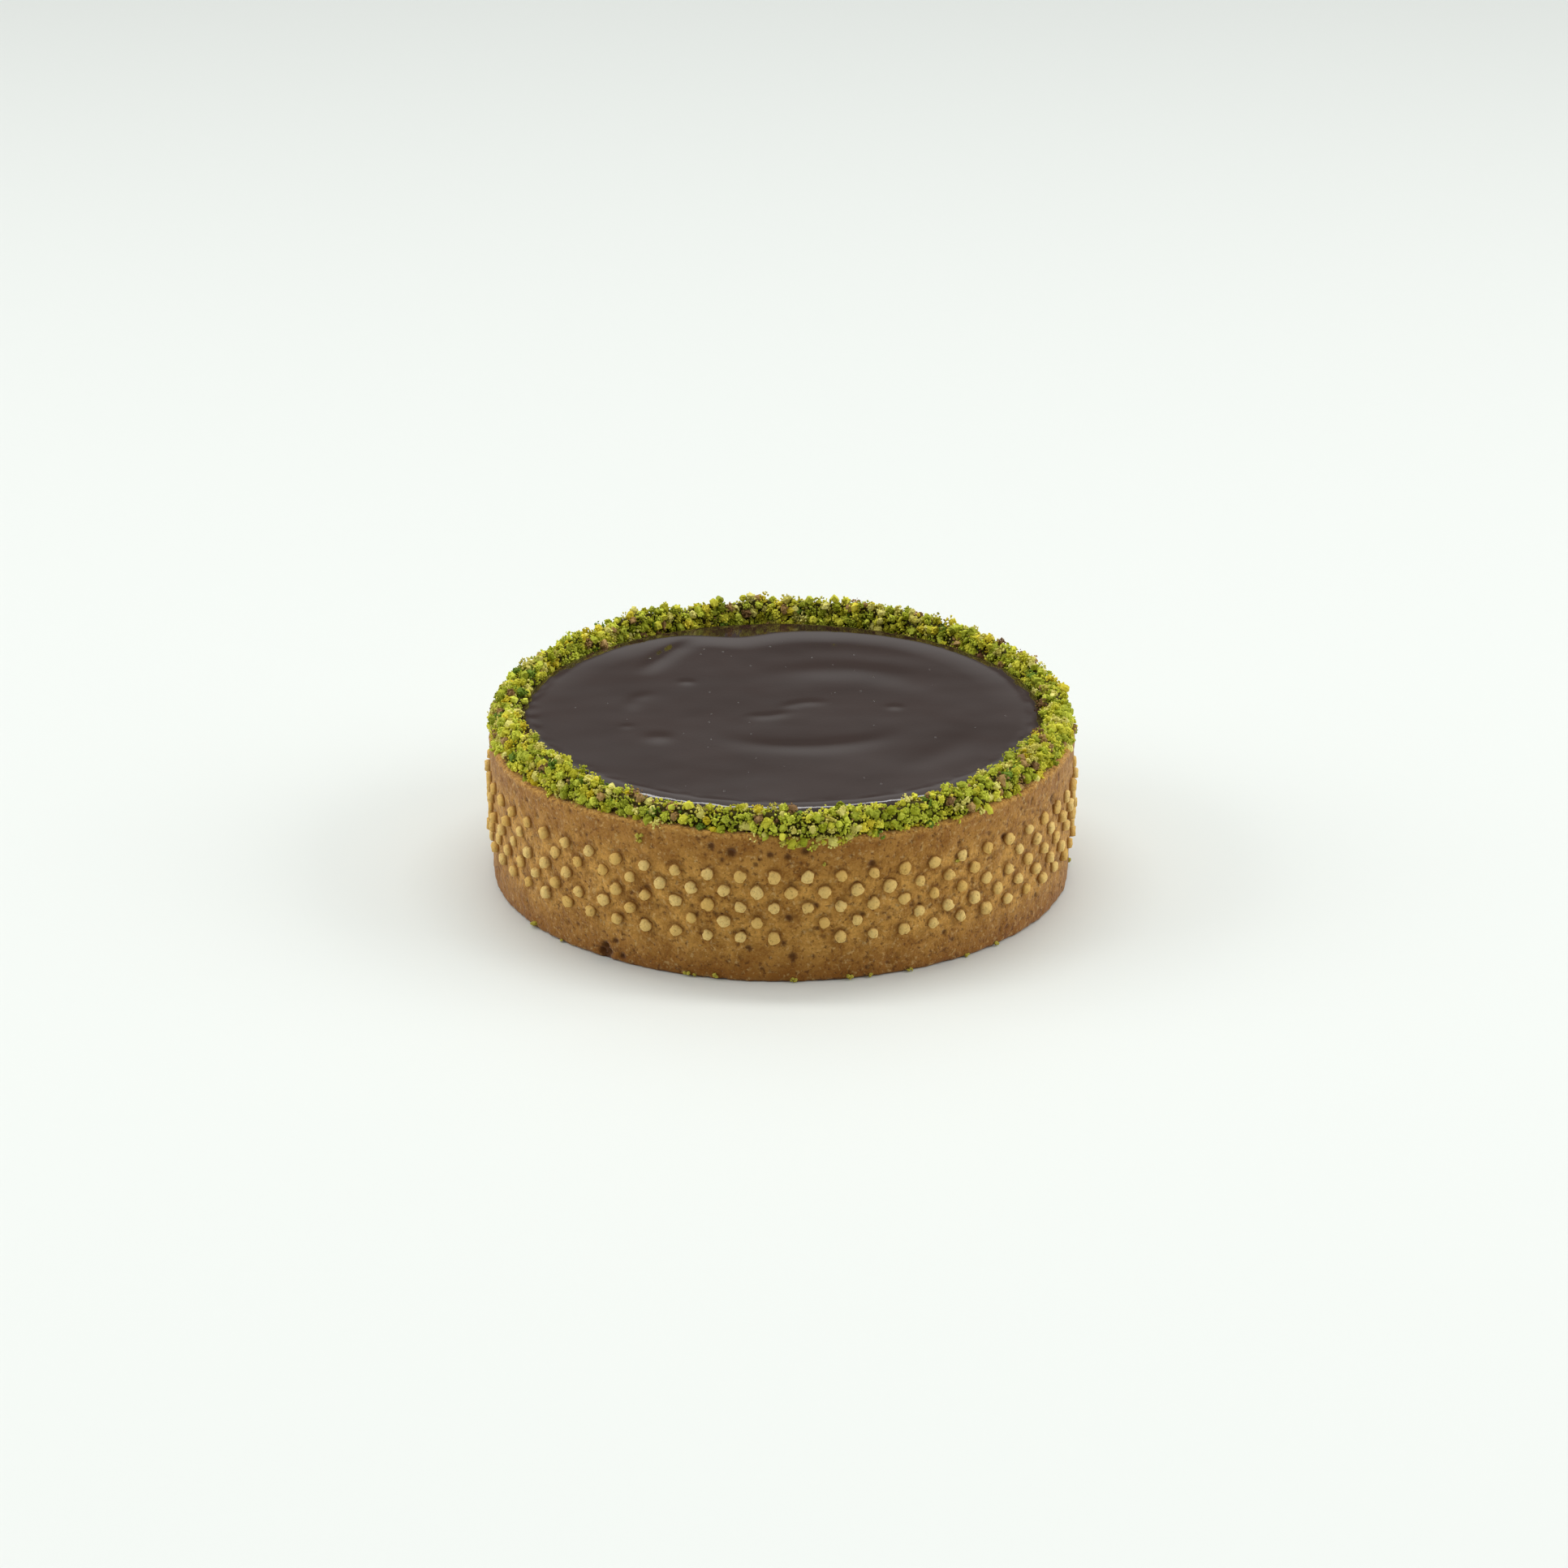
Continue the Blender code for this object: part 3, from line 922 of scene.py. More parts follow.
def raised_back_edge(radii, angles):
    """Height of the low ridge that the glaze left at the back, before it falls away to the crumbs."""
    from_back = math.pi - np.abs(angles)
    ridge = RIDGE_RADIUS - BACK_INWARDS * np.exp(-((from_back / BACK_SPREAD) ** 2))
    ridge -= DIP_INWARDS * np.exp(-((from_direction(angles, DIP_ANGLE) / DIP_SPREAD) ** 2))
    climb = np.clip((radii - ridge + RIDGE_RAMP) / RIDGE_RAMP, 0, 1) ** 2
    fall = np.clip((radii - ridge) / (FILLING_RADIUS - ridge), 0, 1)
    at_back = np.clip(RIDGE_ENDS - np.cos(angles + RIDGE_TURN), 0, 1)
    return RIDGE_RISE * at_back * climb * (1 - fall)


# %% Shape the filling
# rise and lump size in millimetres, and a seed
SLOW_WAVES = [(0.060, 13.0, 11), (0.016, 4.0, 12)]
MARKS_AT_EDGE = 0.35
CALM_WIDTH = 4 * MM
EDGE_RIPPLE = 0.12 * MM
# share, lump size in millimetres and a seed
RIPPLES = [(1.0, 1.7, 13), (0.5, 0.8, 14)]
# share of the full size, number round the edge, and a turn in radians
EDGE_WAVES = [(0.16, 5, 1), (0.12, 9, 0), (0.08, 17, 2)]
EDGE_REACH = 5 * MM
EDGE_PULL = 0.18


def build_filling():
    filling = turned("chocolate_filling", filling_profile(), FILLING_COLUMNS)
    points = read_points(filling.data)
    radii = np.hypot(points[:, 0], points[:, 1])
    angles = np.arctan2(points[:, 0], -points[:, 1])
    top = np.clip((points[:, 2] - (GLAZE_TOP - EDGE_WIDTH)) / EDGE_WIDTH, 0, 1)
    calm = np.clip((FILLING_RADIUS - radii) / CALM_WIDTH, 0, 1)
    relief = poured_relief(points[:, 0], points[:, 1])
    for rise, size, seed in SLOW_WAVES:
        relief += rise * MM * grain(points, size * MM, seed)
    relief *= MARKS_AT_EDGE + (1 - MARKS_AT_EDGE) * calm
    relief += raised_back_edge(radii, angles)
    ripple = sum(share * grain(points, size * MM, seed) for share, size, seed in RIPPLES)
    relief += EDGE_RIPPLE * (1 - calm) * ripple
    points[:, 2] += relief * top
    sway = sum(size * np.sin(count * angles + turn) for size, count, turn in EDGE_WAVES)
    near_edge = np.clip((radii - FILLING_RADIUS + EDGE_REACH) / EDGE_REACH, 0, 1) * top
    inwards = 1 - near_edge * MM * (EDGE_PULL + 0.5 * sway) / np.maximum(radii, MM)
    points[:, :2] *= inwards[:, None]
    write_points(filling.data, points)
    filling.data.shade_smooth()
    return filling


GLAZE_DARK = (0.024, 0.0120, 0.0085)
GLAZE_LIGHT = (0.034, 0.0165, 0.0120)


def chocolate_finish():
    material, tree, shader = new_material("dark_glaze", 0.06)
    place = object_place(tree)
    cloud = lumps(tree, place, 9 * MM, 2.0)
    tree.links.new(blend(tree, cloud, GLAZE_DARK, GLAZE_LIGHT), shader.inputs["Base Color"])
    film = add(tree, "ShaderNodeMapRange", {"Value": cloud, "To Min": 0.05, "To Max": 0.10})
    tree.links.new(out(film), shader.inputs["Roughness"])
    raise_by(tree, shader, lumps(tree, place, 0.35 * MM, 1.0), 0.004 * MM)
    return material


filling = build_filling()
filling.data.materials.append(chocolate_finish())
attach(filling, "root")
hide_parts("ganache")
print("filling:", len(filling.data.polygons), "faces")

# %% [markdown]
# ## Bubbles in the glaze
#
# A few bubbles rose while the chocolate set and stayed as tiny domes. They are scattered on the level
# part of the filling: the tree picks points on its faces, sets a small dome on each and turns it with
# the surface. Each dome catches the light from above, so it shows as a pale speck.

# %% Domes on the glaze
BUBBLE_DENSITY = 15000
BUBBLE_REACH = 31 * MM
BUBBLE_FLATNESS = 0.45


def dome():
    """A bmesh dome one unit in radius, closed underneath."""
    shape = bmesh.new()
    bmesh.ops.create_uvsphere(shape, u_segments=8, v_segments=6, radius=1)
    whole = shape.verts[:] + shape.edges[:] + shape.faces[:]
    bmesh.ops.bisect_plane(shape, geom=whole, plane_co=(0, 0, 0), plane_no=(0, 0, -1), clear_outer=True)
    bmesh.ops.holes_fill(shape, edges=[edge for edge in shape.edges if edge.is_boundary])
    return shape


def bubble_tree(dome_shape):
    numbers = ["Density", "Reach", "Smallest", "Largest"]
    inputs = {name: "Float" for name in numbers} | {"Seed": "Int", "Material": "Material"}
    tree, given, result = geometry_tree("Bubbles on a level glaze", inputs)
    value = {name: given.outputs[name] for name in inputs}
    split = add(tree, "ShaderNodeSeparateXYZ", {"Vector": out(add(tree, "GeometryNodeInputPosition"))})
    level = combine(tree, X=out(split, "X"), Y=out(split, "Y"))
    away = out(add(tree, "ShaderNodeVectorMath", {0: level}, operation="LENGTH"), "Value")
    near = calculate(tree, "LESS_THAN", away, value["Reach"])
    upper = calculate(tree, "GREATER_THAN", out(split, "Z"), GLAZE_TOP / 2)
    scattered = add(tree, "GeometryNodeDistributePointsOnFaces", {
        "Mesh": given.outputs["Geometry"],
        "Selection": times(tree, near, upper),
        "Density": value["Density"],
        "Seed": value["Seed"],
    })
    size = random_number(tree, value["Smallest"], value["Largest"], value["Seed"])
    domes = out(add(tree, "GeometryNodeInstanceOnPoints", {
        "Points": out(scattered, "Points"),
        "Instance": out(add(tree, "GeometryNodeObjectInfo", {"Object": dome_shape}), "Geometry"),
        "Rotation": out(scattered, "Rotation"),
        "Scale": combine(tree, X=size, Y=size, Z=times(tree, size, BUBBLE_FLATNESS)),
    }))
    hand_over(tree, domes, value["Material"], result)
    return tree


loose_shapes = bpy.data.collections.new("loose shapes")
bubble_nodes = bubble_tree(variant(loose_shapes, "dome", dome()))
bubbles = grown("glaze_bubbles", filling.data.copy(), bubble_nodes, {
    "Density": BUBBLE_DENSITY,
    "Reach": BUBBLE_REACH,
    "Smallest": 0.12 * MM,
    "Largest": 0.27 * MM,
    "Seed": 4,
    "Material": filling.data.materials[0],
})
bubbles.data.shade_smooth()
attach(bubbles, "root")
print("bubbles:", len(bubbles.data.polygons), "faces")

# %% [markdown]
# ## The crumb ring: what lies under it
#
# Chopped pistachio was pressed on while the glaze was soft. It lies as a bank on the rim, low in front,
# where the filling's edge shows above it, and high at the back. A core of that form comes first, painted
# dark as the shade between the crumbs. It fills the gaps between the crumbs, and it is what they are
# scattered on, so it alone decides how the ring rises and wanders.

# %% Form of the core
CORE_COLUMNS = 420
CORE_RISE_FRONT = 2.5 * MM
CORE_RISE_BACK = 4.7 * MM
CORE_SIDE_SAG = 0.8 * MM
CORE_REACH_FRONT = 37.2 * MM
CORE_REACH_SIDE = 36.4 * MM
CORE_REACH_BACK = 37.1 * MM
CORE_REACH_EXTRA = 1.1 * MM
EXTRA_ANGLE = math.radians(56)
EXTRA_SPREAD = math.radians(17)
CORE_INSET = 1.45 * MM
NARROWEST_BANK = 1.7 * MM
# size in millimetres, number round the ring, and a seed
CREST_WAVES = [(0.42, 26, 1), (0.36, 60, 2)]
REACH_WAVES = [(0.50, 30, 3), (0.75, 70, 4)]
OPEN_POINTS = range(1, 7)
TUCK = 0.5 * MM
SHOULDER = 0.35 * MM
GLAZE_SHOULDER = 1.2 * MM
GLAZE_CURVE = 900

# %% Where crumbs spill over the rim
SPILL_ANGLE = math.radians(7)
SPILL_SPREAD = math.radians(11)
SPILL_REACH = 0.95 * MM
SPILL_DROP = 1.0 * MM
BACK_SPILL = 0.8
BACK_SPILL_START = 1.2
BACK_SPILL_RAMP = 0.6


def wander(angle, waves, seed):
    """A smooth random value of about -1 to 1 that changes round the ring and meets itself."""
    spread = waves / 4
    return 1.6 * noise.noise(Vector((spread * math.cos(angle), spread * math.sin(angle), seed * 4.3)))


def waver(angle, waves):
    """The listed waves together, in metres."""
    return sum(size * wander(angle, count, seed) for size, count, seed in waves) * MM


def front_to_back(angle, front, back):
    return front + (0.5 - 0.5 * math.cos(angle)) * (back - front)


def spill_share(angle):
    """How far the crumbs hang over the rim here, from 0 to 1."""
    at_front = math.exp(-((from_direction(angle, SPILL_ANGLE) / SPILL_SPREAD) ** 2))
    share = min(1, 0.5 * max(0, wander(angle, 18, 5)) + at_front)
    past_side = abs(from_direction(angle, 0)) - BACK_SPILL_START
    return max(share, min(BACK_SPILL, max(0, past_side) / BACK_SPILL_RAMP))


def core_reach(angle):
    """Radius of the core's inner edge, where it lies against the filling."""
    ends = front_to_back(angle, CORE_REACH_FRONT, CORE_REACH_BACK)
    reach = ends + math.sin(angle) ** 2 * (CORE_REACH_SIDE - ends)
    reach += waver(angle, REACH_WAVES)
    from_extra = (abs(from_direction(angle, 0)) - EXTRA_ANGLE) / EXTRA_SPREAD
    return reach - CORE_REACH_EXTRA * math.exp(-(from_extra**2))


def glaze_beside(radius, rim):
    """Height of the filling's rounded edge at this radius, but not lower than the rim."""
    past_level = max(0, radius - FILLING_RADIUS + GLAZE_SHOULDER)
    return min(GLAZE_TOP, max(rim, GLAZE_TOP - past_level**2 * GLAZE_CURVE))


# %% Section of the core
def core_section(angle):
    """(radius, height) round the core, from under the filling's edge over the bank and back in."""
    rise = front_to_back(angle, CORE_RISE_FRONT, CORE_RISE_BACK) - CORE_SIDE_SAG * math.sin(angle) ** 2
    top = CRUST_HEIGHT + rise + waver(angle, CREST_WAVES)
    spill = spill_share(angle)
    rim = float(rim_height(angle))
    outside = wall_radius(CRUST_HEIGHT) - CORE_INSET + SPILL_REACH * spill
    reach = min(core_reach(angle), outside - NARROWEST_BANK)
    width = outside - reach
    beside = glaze_beside(reach, rim)
    return [
        (reach, beside - TUCK),
        (reach + 0.10 * width, beside + 0.2 * MM),
        (reach + 0.35 * width, max(top - SHOULDER, beside + SHOULDER)),
        (outside - 0.45 * width, top),
        (outside - 0.20 * width, top - 0.45 * MM),
        (outside, rim + 0.75 * MM),
        (outside + 0.1 * MM, rim + 0.25 * MM - SPILL_DROP * spill),
        (outside - 1.0 * MM, rim - TUCK),
        (FILLING_RADIUS + CLEAR_GAP, rim - TUCK),
    ]


def build_core():
    """The core as a closed ring, with a value on each vertex that says whether crumbs lie there."""
    shape = bmesh.new()
    uncovered = shape.verts.layers.float.new("open")
    columns = []
    for column in range(CORE_COLUMNS):
        angle = math.tau * column / CORE_COLUMNS
        ring = []
        for number, (radius, height) in enumerate(core_section(angle)):
            made = shape.verts.new(at(angle, radius, height))
            made[uncovered] = float(number in OPEN_POINTS)
            ring.append(made)
        columns.append(ring)
    count = len(columns[0])
    for here, there in zip(columns, columns[1:] + columns[:1]):
        for number in range(count):
            after = (number + 1) % count
            shape.faces.new((here[number], here[after], there[after], there[number]))
    bmesh.ops.recalc_face_normals(shape, faces=shape.faces)
    core = in_scene("crumb_core", as_mesh("crumb_core", shape))
    core.data.shade_smooth()
    return core


crumb_core = build_core()
print("core:", len(crumb_core.data.polygons), "faces")

# %% [markdown]
# ## The crumb ring: clumps, chunks and grains
#
# A chopped nut isn't a heap of equal balls. Some crumbs are clean-cut chunks of a millimetre or more,
# some are clumps of small grains that still hold together, and dust of single grains lies between them.
# So there are three layers. For a clump, a small pattern of points is copied first, and a grain is set
# on each of its points.

# %% Shapes to copy
SHAPES_OF_EACH = 8
STRETCH = [(0.8, 1.25), (0.8, 1.1), (0.65, 0.95)]
GRAIN_BUMPS = (0.62, 1.25)
CHUNK_BUMPS = (0.80, 1.15)
CHUNK_ROUNDING = 0.75
CLUMP_RADIUS = 0.64 * MM
CLUMP_GRAINS = (21, 29)
CLUMP_FLATNESS = 0.8
CLUMP_DEPTHS = (0.75, 1.25)
HEART_GROWTH = 3.4


def lopsided(shape, chance, bumps):
    """The shape squashed, and each of its corners pulled in or out by chance."""
    stretch = Vector([chance.uniform(*limits) for limits in STRETCH])
    for vertex in shape.verts:
        vertex.co = vertex.co * stretch * chance.uniform(*bumps)
    return shape


def grain_shape(seed):
    """A grain of twenty faces, about one unit in radius."""
    shape = bmesh.new()
    bmesh.ops.create_icosphere(shape, subdivisions=1, radius=1)
    return lopsided(shape, random.Random(seed), GRAIN_BUMPS)


def chunk_shape(seed):
    """A blunt chunk of two dozen faces, a little more than half a unit in radius."""
    shape = bmesh.new()
    bmesh.ops.create_cube(shape, size=1)
    bmesh.ops.subdivide_edges(shape, edges=shape.edges, cuts=1, use_grid_fill=True)
    for vertex in shape.verts:
        vertex.co = vertex.co.lerp(vertex.co.normalized(), CHUNK_ROUNDING)
    return lopsided(shape, random.Random(50 + seed), CHUNK_BUMPS)


def point_pattern(places, growths):
    """A bmesh of loose points, each with a value that says how much bigger its grain grows."""
    shape = bmesh.new()
    growth = shape.verts.layers.float.new("growth")
    for place, value in zip(places, growths):
        shape.verts.new(place)[growth] = value
    return shape


def clump_pattern(seed):
    """Points for one clump: a big grain for its heart and a crust of small ones round that."""
    chance = random.Random(100 + seed)
    places = [Vector((0, 0, 0))]
    for _ in range(chance.randint(*CLUMP_GRAINS)):
        direction = Vector((chance.gauss(0, 1), chance.gauss(0, 1), chance.gauss(0, 1))).normalized()
        direction.z *= CLUMP_FLATNESS
        places.append(direction * CLUMP_RADIUS * chance.uniform(*CLUMP_DEPTHS))
    return point_pattern(places, [HEART_GROWTH] + [1.0] * (len(places) - 1))


grain_shapes = bpy.data.collections.new("grain shapes")
chunk_shapes = bpy.data.collections.new("chunk shapes")
clump_patterns = bpy.data.collections.new("clump patterns")
lone_pattern = bpy.data.collections.new("lone pattern")
for seed in range(SHAPES_OF_EACH):
    variant(grain_shapes, f"grain_{seed}", grain_shape(seed))
    variant(chunk_shapes, f"chunk_{seed}", chunk_shape(seed))
    variant(clump_patterns, f"clump_{seed}", clump_pattern(seed))
variant(lone_pattern, "lone_point", point_pattern([(0, 0, 0)], [1.0]))
print("grains, chunks and clumps to copy:", SHAPES_OF_EACH, "of each")


# %% Tree that heaps crumbs on the core
CRUMB_LAYERS = {
    "Clump": (clump_patterns, grain_shapes),
    "Chunk": (lone_pattern, chunk_shapes),
    "Grain": (lone_pattern, grain_shapes),
}
CRUMB_INPUTS = ["spacing", "smallest", "largest", "lift"]
CROWDED = 2e7
PATTERN_SPREAD = (0.65, 1.4)


def crumb_layer(tree, given, label, seed):
    """The crumbs of one layer that are of the wanted kind, as copies on the core."""
    pattern, shapes = CRUMB_LAYERS[label]
    spacing, smallest, largest, lift = (given.outputs[f"{label} {what}"] for what in CRUMB_INPUTS)
    scattered = add(tree, "GeometryNodeDistributePointsOnFaces", {
        "Mesh": given.outputs["Geometry"],
        "Distance Min": spacing,
        "Density Max": CROWDED,
        "Density Factor": named_value(tree, "open"),
        "Seed": plus(tree, given.outputs["Seed"], seed),
    }, distribute_method="POISSON")
    kind = random_number(tree, 0.0, 1.0, seed + 1)
    low = calculate(tree, "LESS_THAN", kind, given.outputs["Kind from"])
    high = calculate(tree, "GREATER_THAN", kind, given.outputs["Kind to"])
    drop = {"Geometry": out(scattered, "Points"), "Selection": calculate(tree, "MAXIMUM", low, high)}
    picked = out(add(tree, "GeometryNodeDeleteGeometry", drop))
    rise = times(tree, lift, random_number(tree, 0.0, 1.0, seed + 2))
    push = {0: out(scattered, "Normal"), "Scale": rise}
    outwards = out(add(tree, "ShaderNodeVectorMath", push, operation="SCALE"))
    lifted = out(add(tree, "GeometryNodeSetPosition", {"Geometry": picked, "Offset": outwards}))
    spread = random_number(tree, *PATTERN_SPREAD, seed + 3)
    patterns = keep_on_copies(tree, copies(tree, lifted, pattern, spread, seed + 4), "tone", seed + 6)
    points = out(add(tree, "GeometryNodeMeshToPoints", {"Mesh": real(tree, patterns)}))
    size = times(tree, named_value(tree, "growth"), random_number(tree, smallest, largest, seed + 7))
    return keep_on_copies(tree, copies(tree, points, shapes, size, seed + 8), "fleck", seed + 10)


def crumb_tree():
    inputs = {f"{label} {what}": "Float" for label in CRUMB_LAYERS for what in CRUMB_INPUTS}
    inputs |= {"Kind from": "Float", "Kind to": "Float", "Seed": "Int", "Material": "Material"}
    tree, given, result = geometry_tree("Chopped nut on a core", inputs)
    together = tree.nodes.new("GeometryNodeJoinGeometry")
    for number, label in enumerate(CRUMB_LAYERS):
        tree.links.new(crumb_layer(tree, given, label, 20 * number), together.inputs["Geometry"])
    hand_over(tree, out(together), given.outputs["Material"], result)
    return tree


crumb_nodes = crumb_tree()
print("crumb tree:", len(crumb_nodes.nodes), "nodes")

# %% [markdown]
# ## Nut finishes
#
# Pistachio is yellow-green inside, greener near the skin, and the skin is purple-brown. Each kind of
# crumb is its own piece with its own two colours, a deep and a light one. A shared group mixes them by
# the clump's value, the grain's value and a fine mottle, so that neighbours in a clump match and clumps
# differ, as cuts from one nut do.

# %% Shared nut colouring
TONE_SHARE = 0.55
FLECK_SHARE = 0.35
FIBRE_SHARE = 0.35
NUT_GLOSS = 0.12
FIBRE_SIZE = 0.22 * MM


def nut_mottle():
    sockets = {"Vector": "Vector", "Cell size": "Float"}
    group, given, result = shader_group("Cut nut", sockets, ["Shade", "Height"])
    fibre = lumps(group, given.outputs["Vector"], given.outputs["Cell size"], 2.0, 0.6)
    own = times(group, stored(group, "tone"), TONE_SHARE)
    fleck = times(group, stored(group, "fleck"), FLECK_SHARE)
    shade = plus(group, plus(group, own, fleck), times(group, fibre, FIBRE_SHARE))
    group.links.new(between(group, shade, 0.28, 0.96), result.inputs["Shade"])
    group.links.new(fibre, result.inputs["Height"])
    return group


nut_group = nut_mottle()


def nut_finish(name, deep, light):
    material, tree, shader = new_material(name, 0.6, NUT_GLOSS)
    cell = {"Vector": object_place(tree), "Cell size": FIBRE_SIZE}
    cut = add(tree, "ShaderNodeGroup", cell, node_tree=nut_group)
    tree.links.new(blend(tree, out(cut, "Shade"), deep, light), shader.inputs["Base Color"])
    raise_by(tree, shader, out(cut, "Height"), 0.05 * MM)
    return material


print("nut group:", len(nut_group.nodes), "nodes")

# %% Kinds of crumb
# name, which random numbers it takes, deep colour, light colour
NUT_KINDS = [
    ("crumbs_yellow_green", 0.00, 0.26, (0.38, 0.36, 0.012), (0.80, 0.77, 0.080)),
    ("crumbs_lime", 0.26, 0.52, (0.31, 0.34, 0.012), (0.68, 0.72, 0.080)),
    ("crumbs_green", 0.52, 0.67, (0.22, 0.25, 0.010), (0.50, 0.54, 0.055)),
    ("crumbs_pale", 0.67, 0.83, (0.48, 0.42, 0.060), (0.88, 0.82, 0.240)),
    ("crumbs_yellow", 0.83, 0.90, (0.52, 0.41, 0.012), (0.85, 0.74, 0.070)),
    ("crumbs_deep_green", 0.90, 0.93, (0.09, 0.16, 0.015), (0.20, 0.30, 0.030)),
    ("crumbs_skin", 0.93, 1.00, (0.13, 0.060, 0.025), (0.52, 0.33, 0.120)),
]
# painted shade: the core's dark colours stand in for the shade in the gaps between crumbs
CORE_SHADE_DEEP = (0.060, 0.048, 0.006)
CORE_SHADE_LIGHT = (0.18, 0.15, 0.012)
print("kinds of crumb:", len(NUT_KINDS))


# %% Heap the crumbs
crumb_core.data.materials.append(nut_finish("crumb_shadow", CORE_SHADE_DEEP, CORE_SHADE_LIGHT))
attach(crumb_core, "root")
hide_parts("pistachio_crumbs")

# spacing, smallest, largest and lift of each layer, in millimetres
LAYER_SIZES = {
    "Clump": (1.05, 0.11, 0.24, 0.70),
    "Chunk": (2.20, 0.45, 0.80, 0.85),
    "Grain": (0.52, 0.16, 0.32, 0.45),
}
heap_sizes = {
    f"{label} {what}": size * MM
    for label, sizes in LAYER_SIZES.items() for what, size in zip(CRUMB_INPUTS, sizes)
}
for kind_name, kind_from, kind_to, deep, light in NUT_KINDS:
    crumbs = grown(kind_name, crumb_core.data.copy(), crumb_nodes, heap_sizes | {
        "Kind from": kind_from,
        "Kind to": kind_to,
        "Seed": 6,
        "Material": nut_finish(kind_name, deep, light),
    })
    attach(crumbs, "root")
    print(kind_name, len(crumbs.data.polygons), "faces")

# %% [markdown]
# ## Stray crumbs
#
# A few crumbs fell off the ring. Some stuck to the wall on the way down and the others lie at the foot.
# Their places are chosen one by one, because so few crumbs don't need a rule, and each is made of three
# of the same grains.

# %% Crumbs on the wall and at the foot
# degrees from the front, then height and size in millimetres
STRAY_CRUMBS = [
    (-27.0, 19.0, 0.42),
    (-27.3, 18.2, 0.30),
    (8.0, 16.7, 0.30),
    (3.5, 19.4, 0.40),
    (6.2, 19.2, 0.36),
    (35.0, 14.3, 0.32),
    (43.0, 14.2, 0.34),
    (-56.0, 0.5, 0.45),
    (-47.0, 0.3, 0.24),
    (-18.0, 0.5, 0.36),
    (-16.5, 0.3, 0.24),
    (-12.5, 0.5, 0.40),
    (2.3, 0.4, 0.34),
    (13.0, 0.4, 0.36),
    (17.0, 0.3, 0.28),
    (25.0, 0.4, 0.34),
    (38.0, 0.3, 0.26),
    (46.0, 0.4, 0.32),
    (90.0, 0.6, 0.42),
]
GRAINS_EACH = 3


def build_strays():
    chance = random.Random(17)
    heap = bmesh.new()
    for degrees, level, size in STRAY_CRUMBS:
        for _ in range(GRAINS_EACH):
            radius = wall_radius(level * MM) + 0.5 * size * MM
            height = max(level + chance.uniform(-0.4, 0.6) * size, 0.85 * size) * MM
            angle = math.radians(degrees) + chance.uniform(-0.9, 0.9) * size * MM / radius
            centre = Matrix.Translation(at(angle, radius, height))
            axis = (chance.uniform(0, math.tau), 4, (chance.random(), chance.random(), 0.5))
            grain_size = Matrix.Scale(size * MM * chance.uniform(0.65, 1.05), 4)
            piece = grain_shape(chance.randint(0, SHAPES_OF_EACH - 1))
            piece.transform(centre @ Matrix.Rotation(*axis) @ grain_size)
            mesh = as_mesh("stray", piece)
            heap.from_mesh(mesh)
            bpy.data.meshes.remove(mesh)
    return in_scene("stray_crumbs", as_mesh("stray_crumbs", heap))


stray_crumbs = build_strays()
stray_crumbs.data.materials.append(bpy.data.materials["crumbs_pale"])
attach(stray_crumbs, "root")
print("stray crumbs:", len(STRAY_CRUMBS))

# %% [markdown]
# ## Floor, light and camera
#
# The tart stands on a plain pale floor. One soft box hangs above and a little behind, which draws the
# bright line on the filling's front edge. Two wide boxes at the sides light the ends of the wall. The
# sky is dim near the horizon, because that part is what the level glaze mirrors, and chocolate has to
# stay dark. It is dimmer in front than behind too, because the photographed wall is darker than the
# floor behind it.

# %% Floor
FLOOR_PALE = (0.76, 0.785, 0.755, 1)


def build_floor():
    shape = bmesh.new()
    bmesh.ops.create_grid(shape, x_segments=1, y_segments=1, size=3.0)
    floor = in_scene("floor", as_mesh("floor", shape))
    material, _, shader = new_material("pale_floor", 0.55)
    shader.inputs["Base Color"].default_value = FLOOR_PALE
    floor.data.materials.append(material)
    return floor


build_floor()


# %% Sky and soft boxes
SKY_COLOUR = (0.98, 1.0, 0.99, 1)
# name, place, width, depth and power of each box of light
SOFT_BOXES = [
    ("light_above", (0.0, 0.25, 0.95), 1.00, 0.12, 3.6),
    ("light_left", (-0.95, -0.05, 0.55), 0.80, 0.60, 4.2),
    ("light_right", (0.95, -0.05, 0.55), 0.80, 0.60, 4.6),
]


def fading(tree, value, low, high, from_light, to_light):
    """A light level that goes softly from one value to another between low and high."""
    return out(add(tree, "ShaderNodeMapRange", {
        "Value": value, "From Min": low, "From Max": high, "To Min": from_light, "To Max": to_light,
    }, interpolation_type="SMOOTHSTEP"))


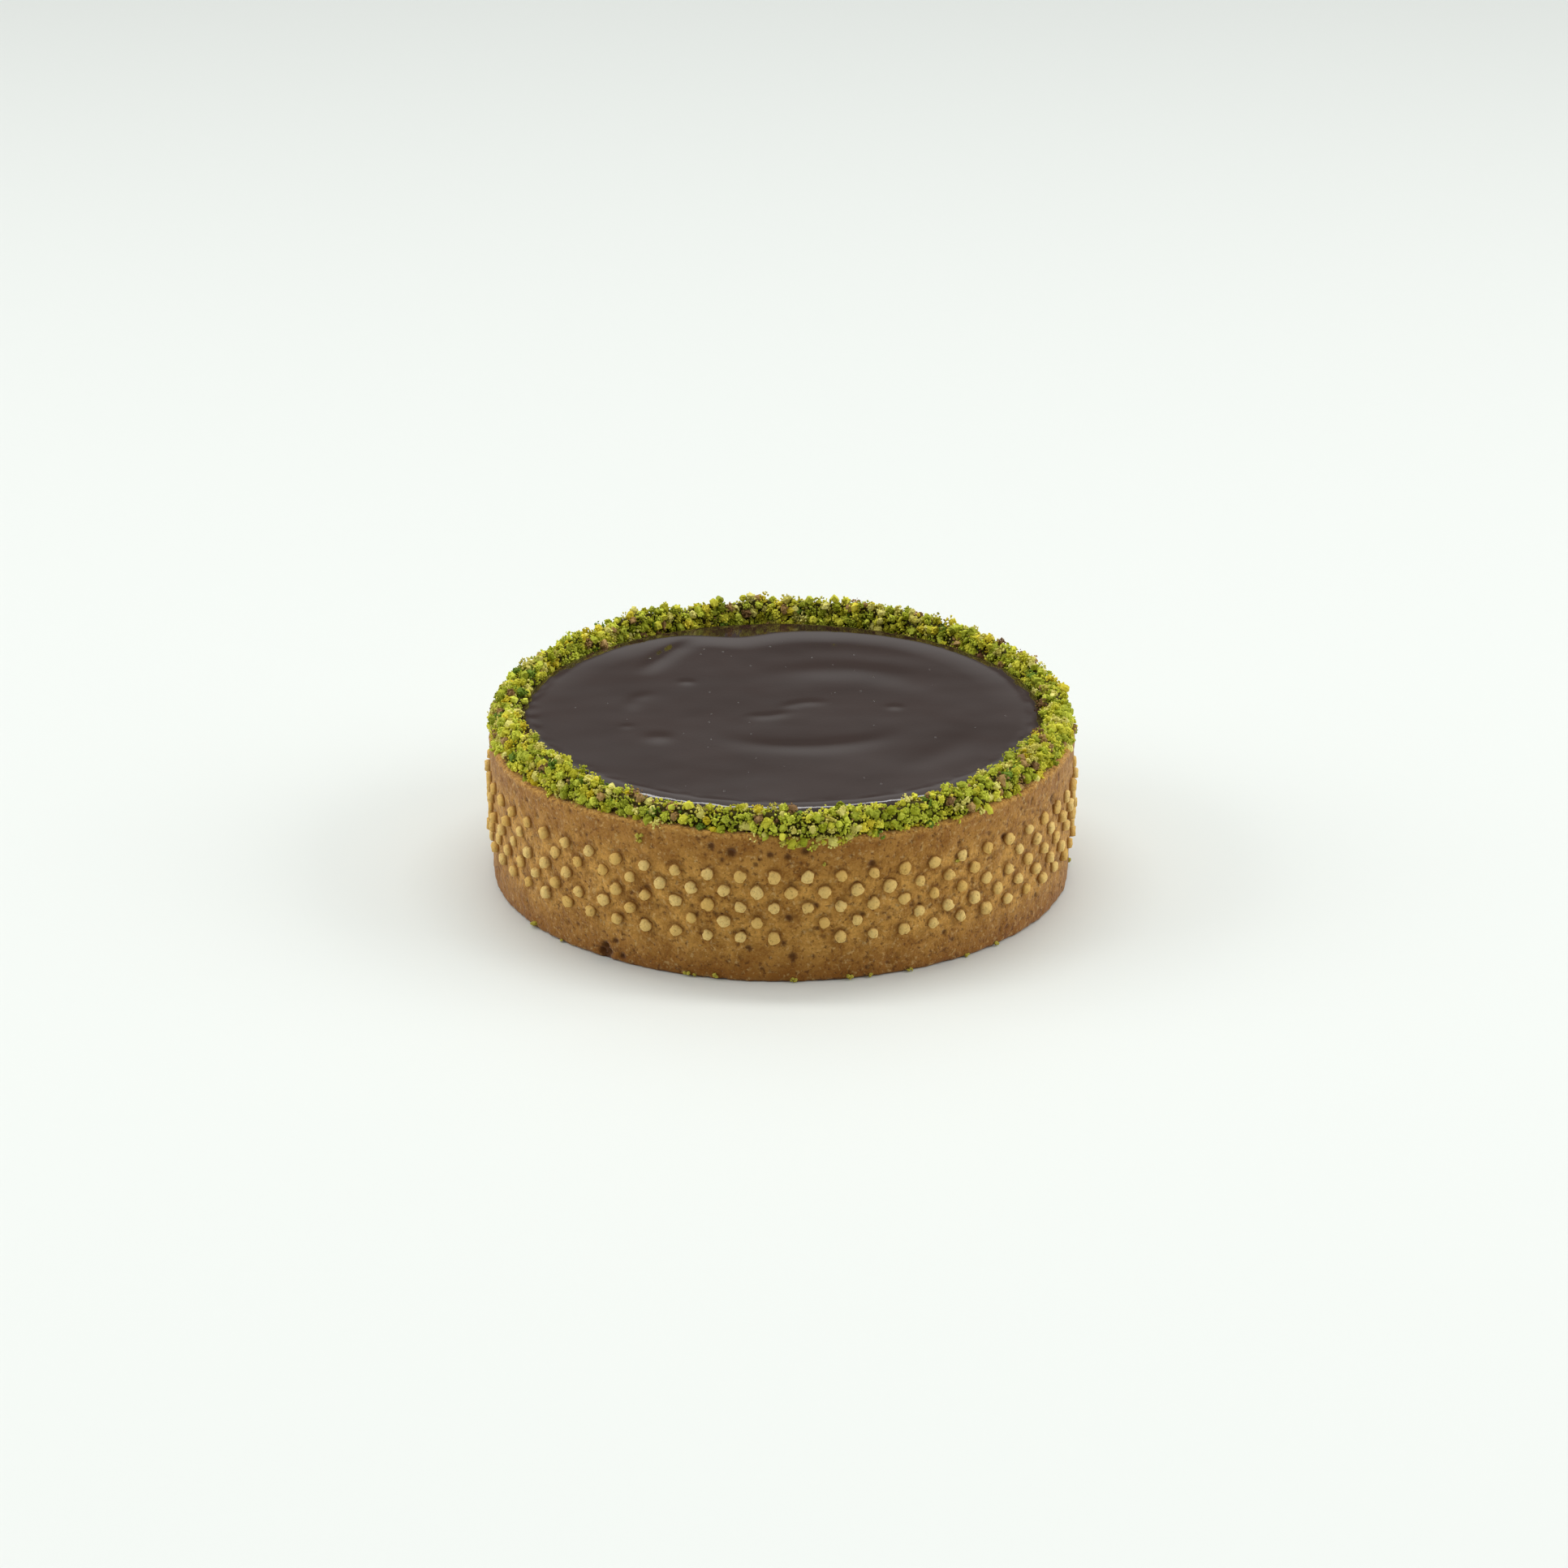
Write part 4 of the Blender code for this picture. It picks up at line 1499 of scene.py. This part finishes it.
def build_sky():
    sky = bpy.data.worlds.new("studio")
    sky.use_nodes = True
    tree = sky.node_tree
    direction = {"Vector": out(add(tree, "ShaderNodeTexCoord"), "Generated")}
    split = add(tree, "ShaderNodeSeparateXYZ", direction)
    overhead = fading(tree, out(split, "Z"), 0.27, 0.64, 0.13, 1.05)
    behind = fading(tree, out(split, "Y"), -0.5, 0.4, 0.46, 1.0)
    background = tree.nodes["Background"]
    background.inputs["Color"].default_value = SKY_COLOUR
    tree.links.new(times(tree, overhead, behind), background.inputs["Strength"])
    bpy.context.scene.world = sky


def soft_box(name, place, width, depth, power):
    """A rectangle of light that faces the tart."""
    light = bpy.data.lights.new(name, "AREA")
    light.shape = "RECTANGLE"
    light.size = width
    light.size_y = depth
    light.energy = power
    box = in_scene(name, light)
    box.location = place
    box.rotation_euler = (-Vector(place)).to_track_quat("-Z", "Y").to_euler()


build_sky()
for box_facts in SOFT_BOXES:
    soft_box(*box_facts)

# %% Camera
CAMERA_DISTANCE = 565.2 * MM
CAMERA_ELEVATION = math.radians(22.92)
CAMERA_ROLL = math.radians(0.269)
SENSOR_WIDTH = 36
FOCAL_PIXELS = 5000
PICTURE_PIXELS = 1932
BASE_LEFT_OF_CENTRE = 3.2
BASE_BELOW_CENTRE = 97.8


def build_camera():
    lens = bpy.data.cameras.new("camera")
    lens.sensor_width = SENSOR_WIDTH
    lens.lens = FOCAL_PIXELS / PICTURE_PIXELS * lens.sensor_width
    lens.clip_start = 0.01
    camera = in_scene("camera", lens)
    tilt = math.pi / 2 - CAMERA_ELEVATION + math.atan(BASE_BELOW_CENTRE / FOCAL_PIXELS)
    swing = -math.atan(BASE_LEFT_OF_CENTRE / FOCAL_PIXELS)
    turn = Matrix.Rotation(swing, 4, "Z") @ Matrix.Rotation(tilt, 4, "X")
    turn = turn @ Matrix.Rotation(CAMERA_ROLL, 4, "Z")
    away = CAMERA_DISTANCE * math.cos(CAMERA_ELEVATION)
    above = CAMERA_DISTANCE * math.sin(CAMERA_ELEVATION)
    camera.matrix_world = Matrix.Translation(at(0, away, above)) @ turn
    bpy.context.scene.camera = camera


build_camera()
bpy.context.scene.view_settings.view_transform = "Standard"
print("camera at", [round(value / MM) for value in bpy.context.scene.camera.location], "mm")

# %% [markdown]
# ## Close
#
# The shapes that were only copied from are removed.

# %% Tidy
for store in (button_shapes, loose_shapes, grain_shapes, chunk_shapes, clump_patterns, lone_pattern):
    for stored_shape in list(store.objects):
        bpy.data.objects.remove(stored_shape)
bpy.data.objects.remove(gap_marks)
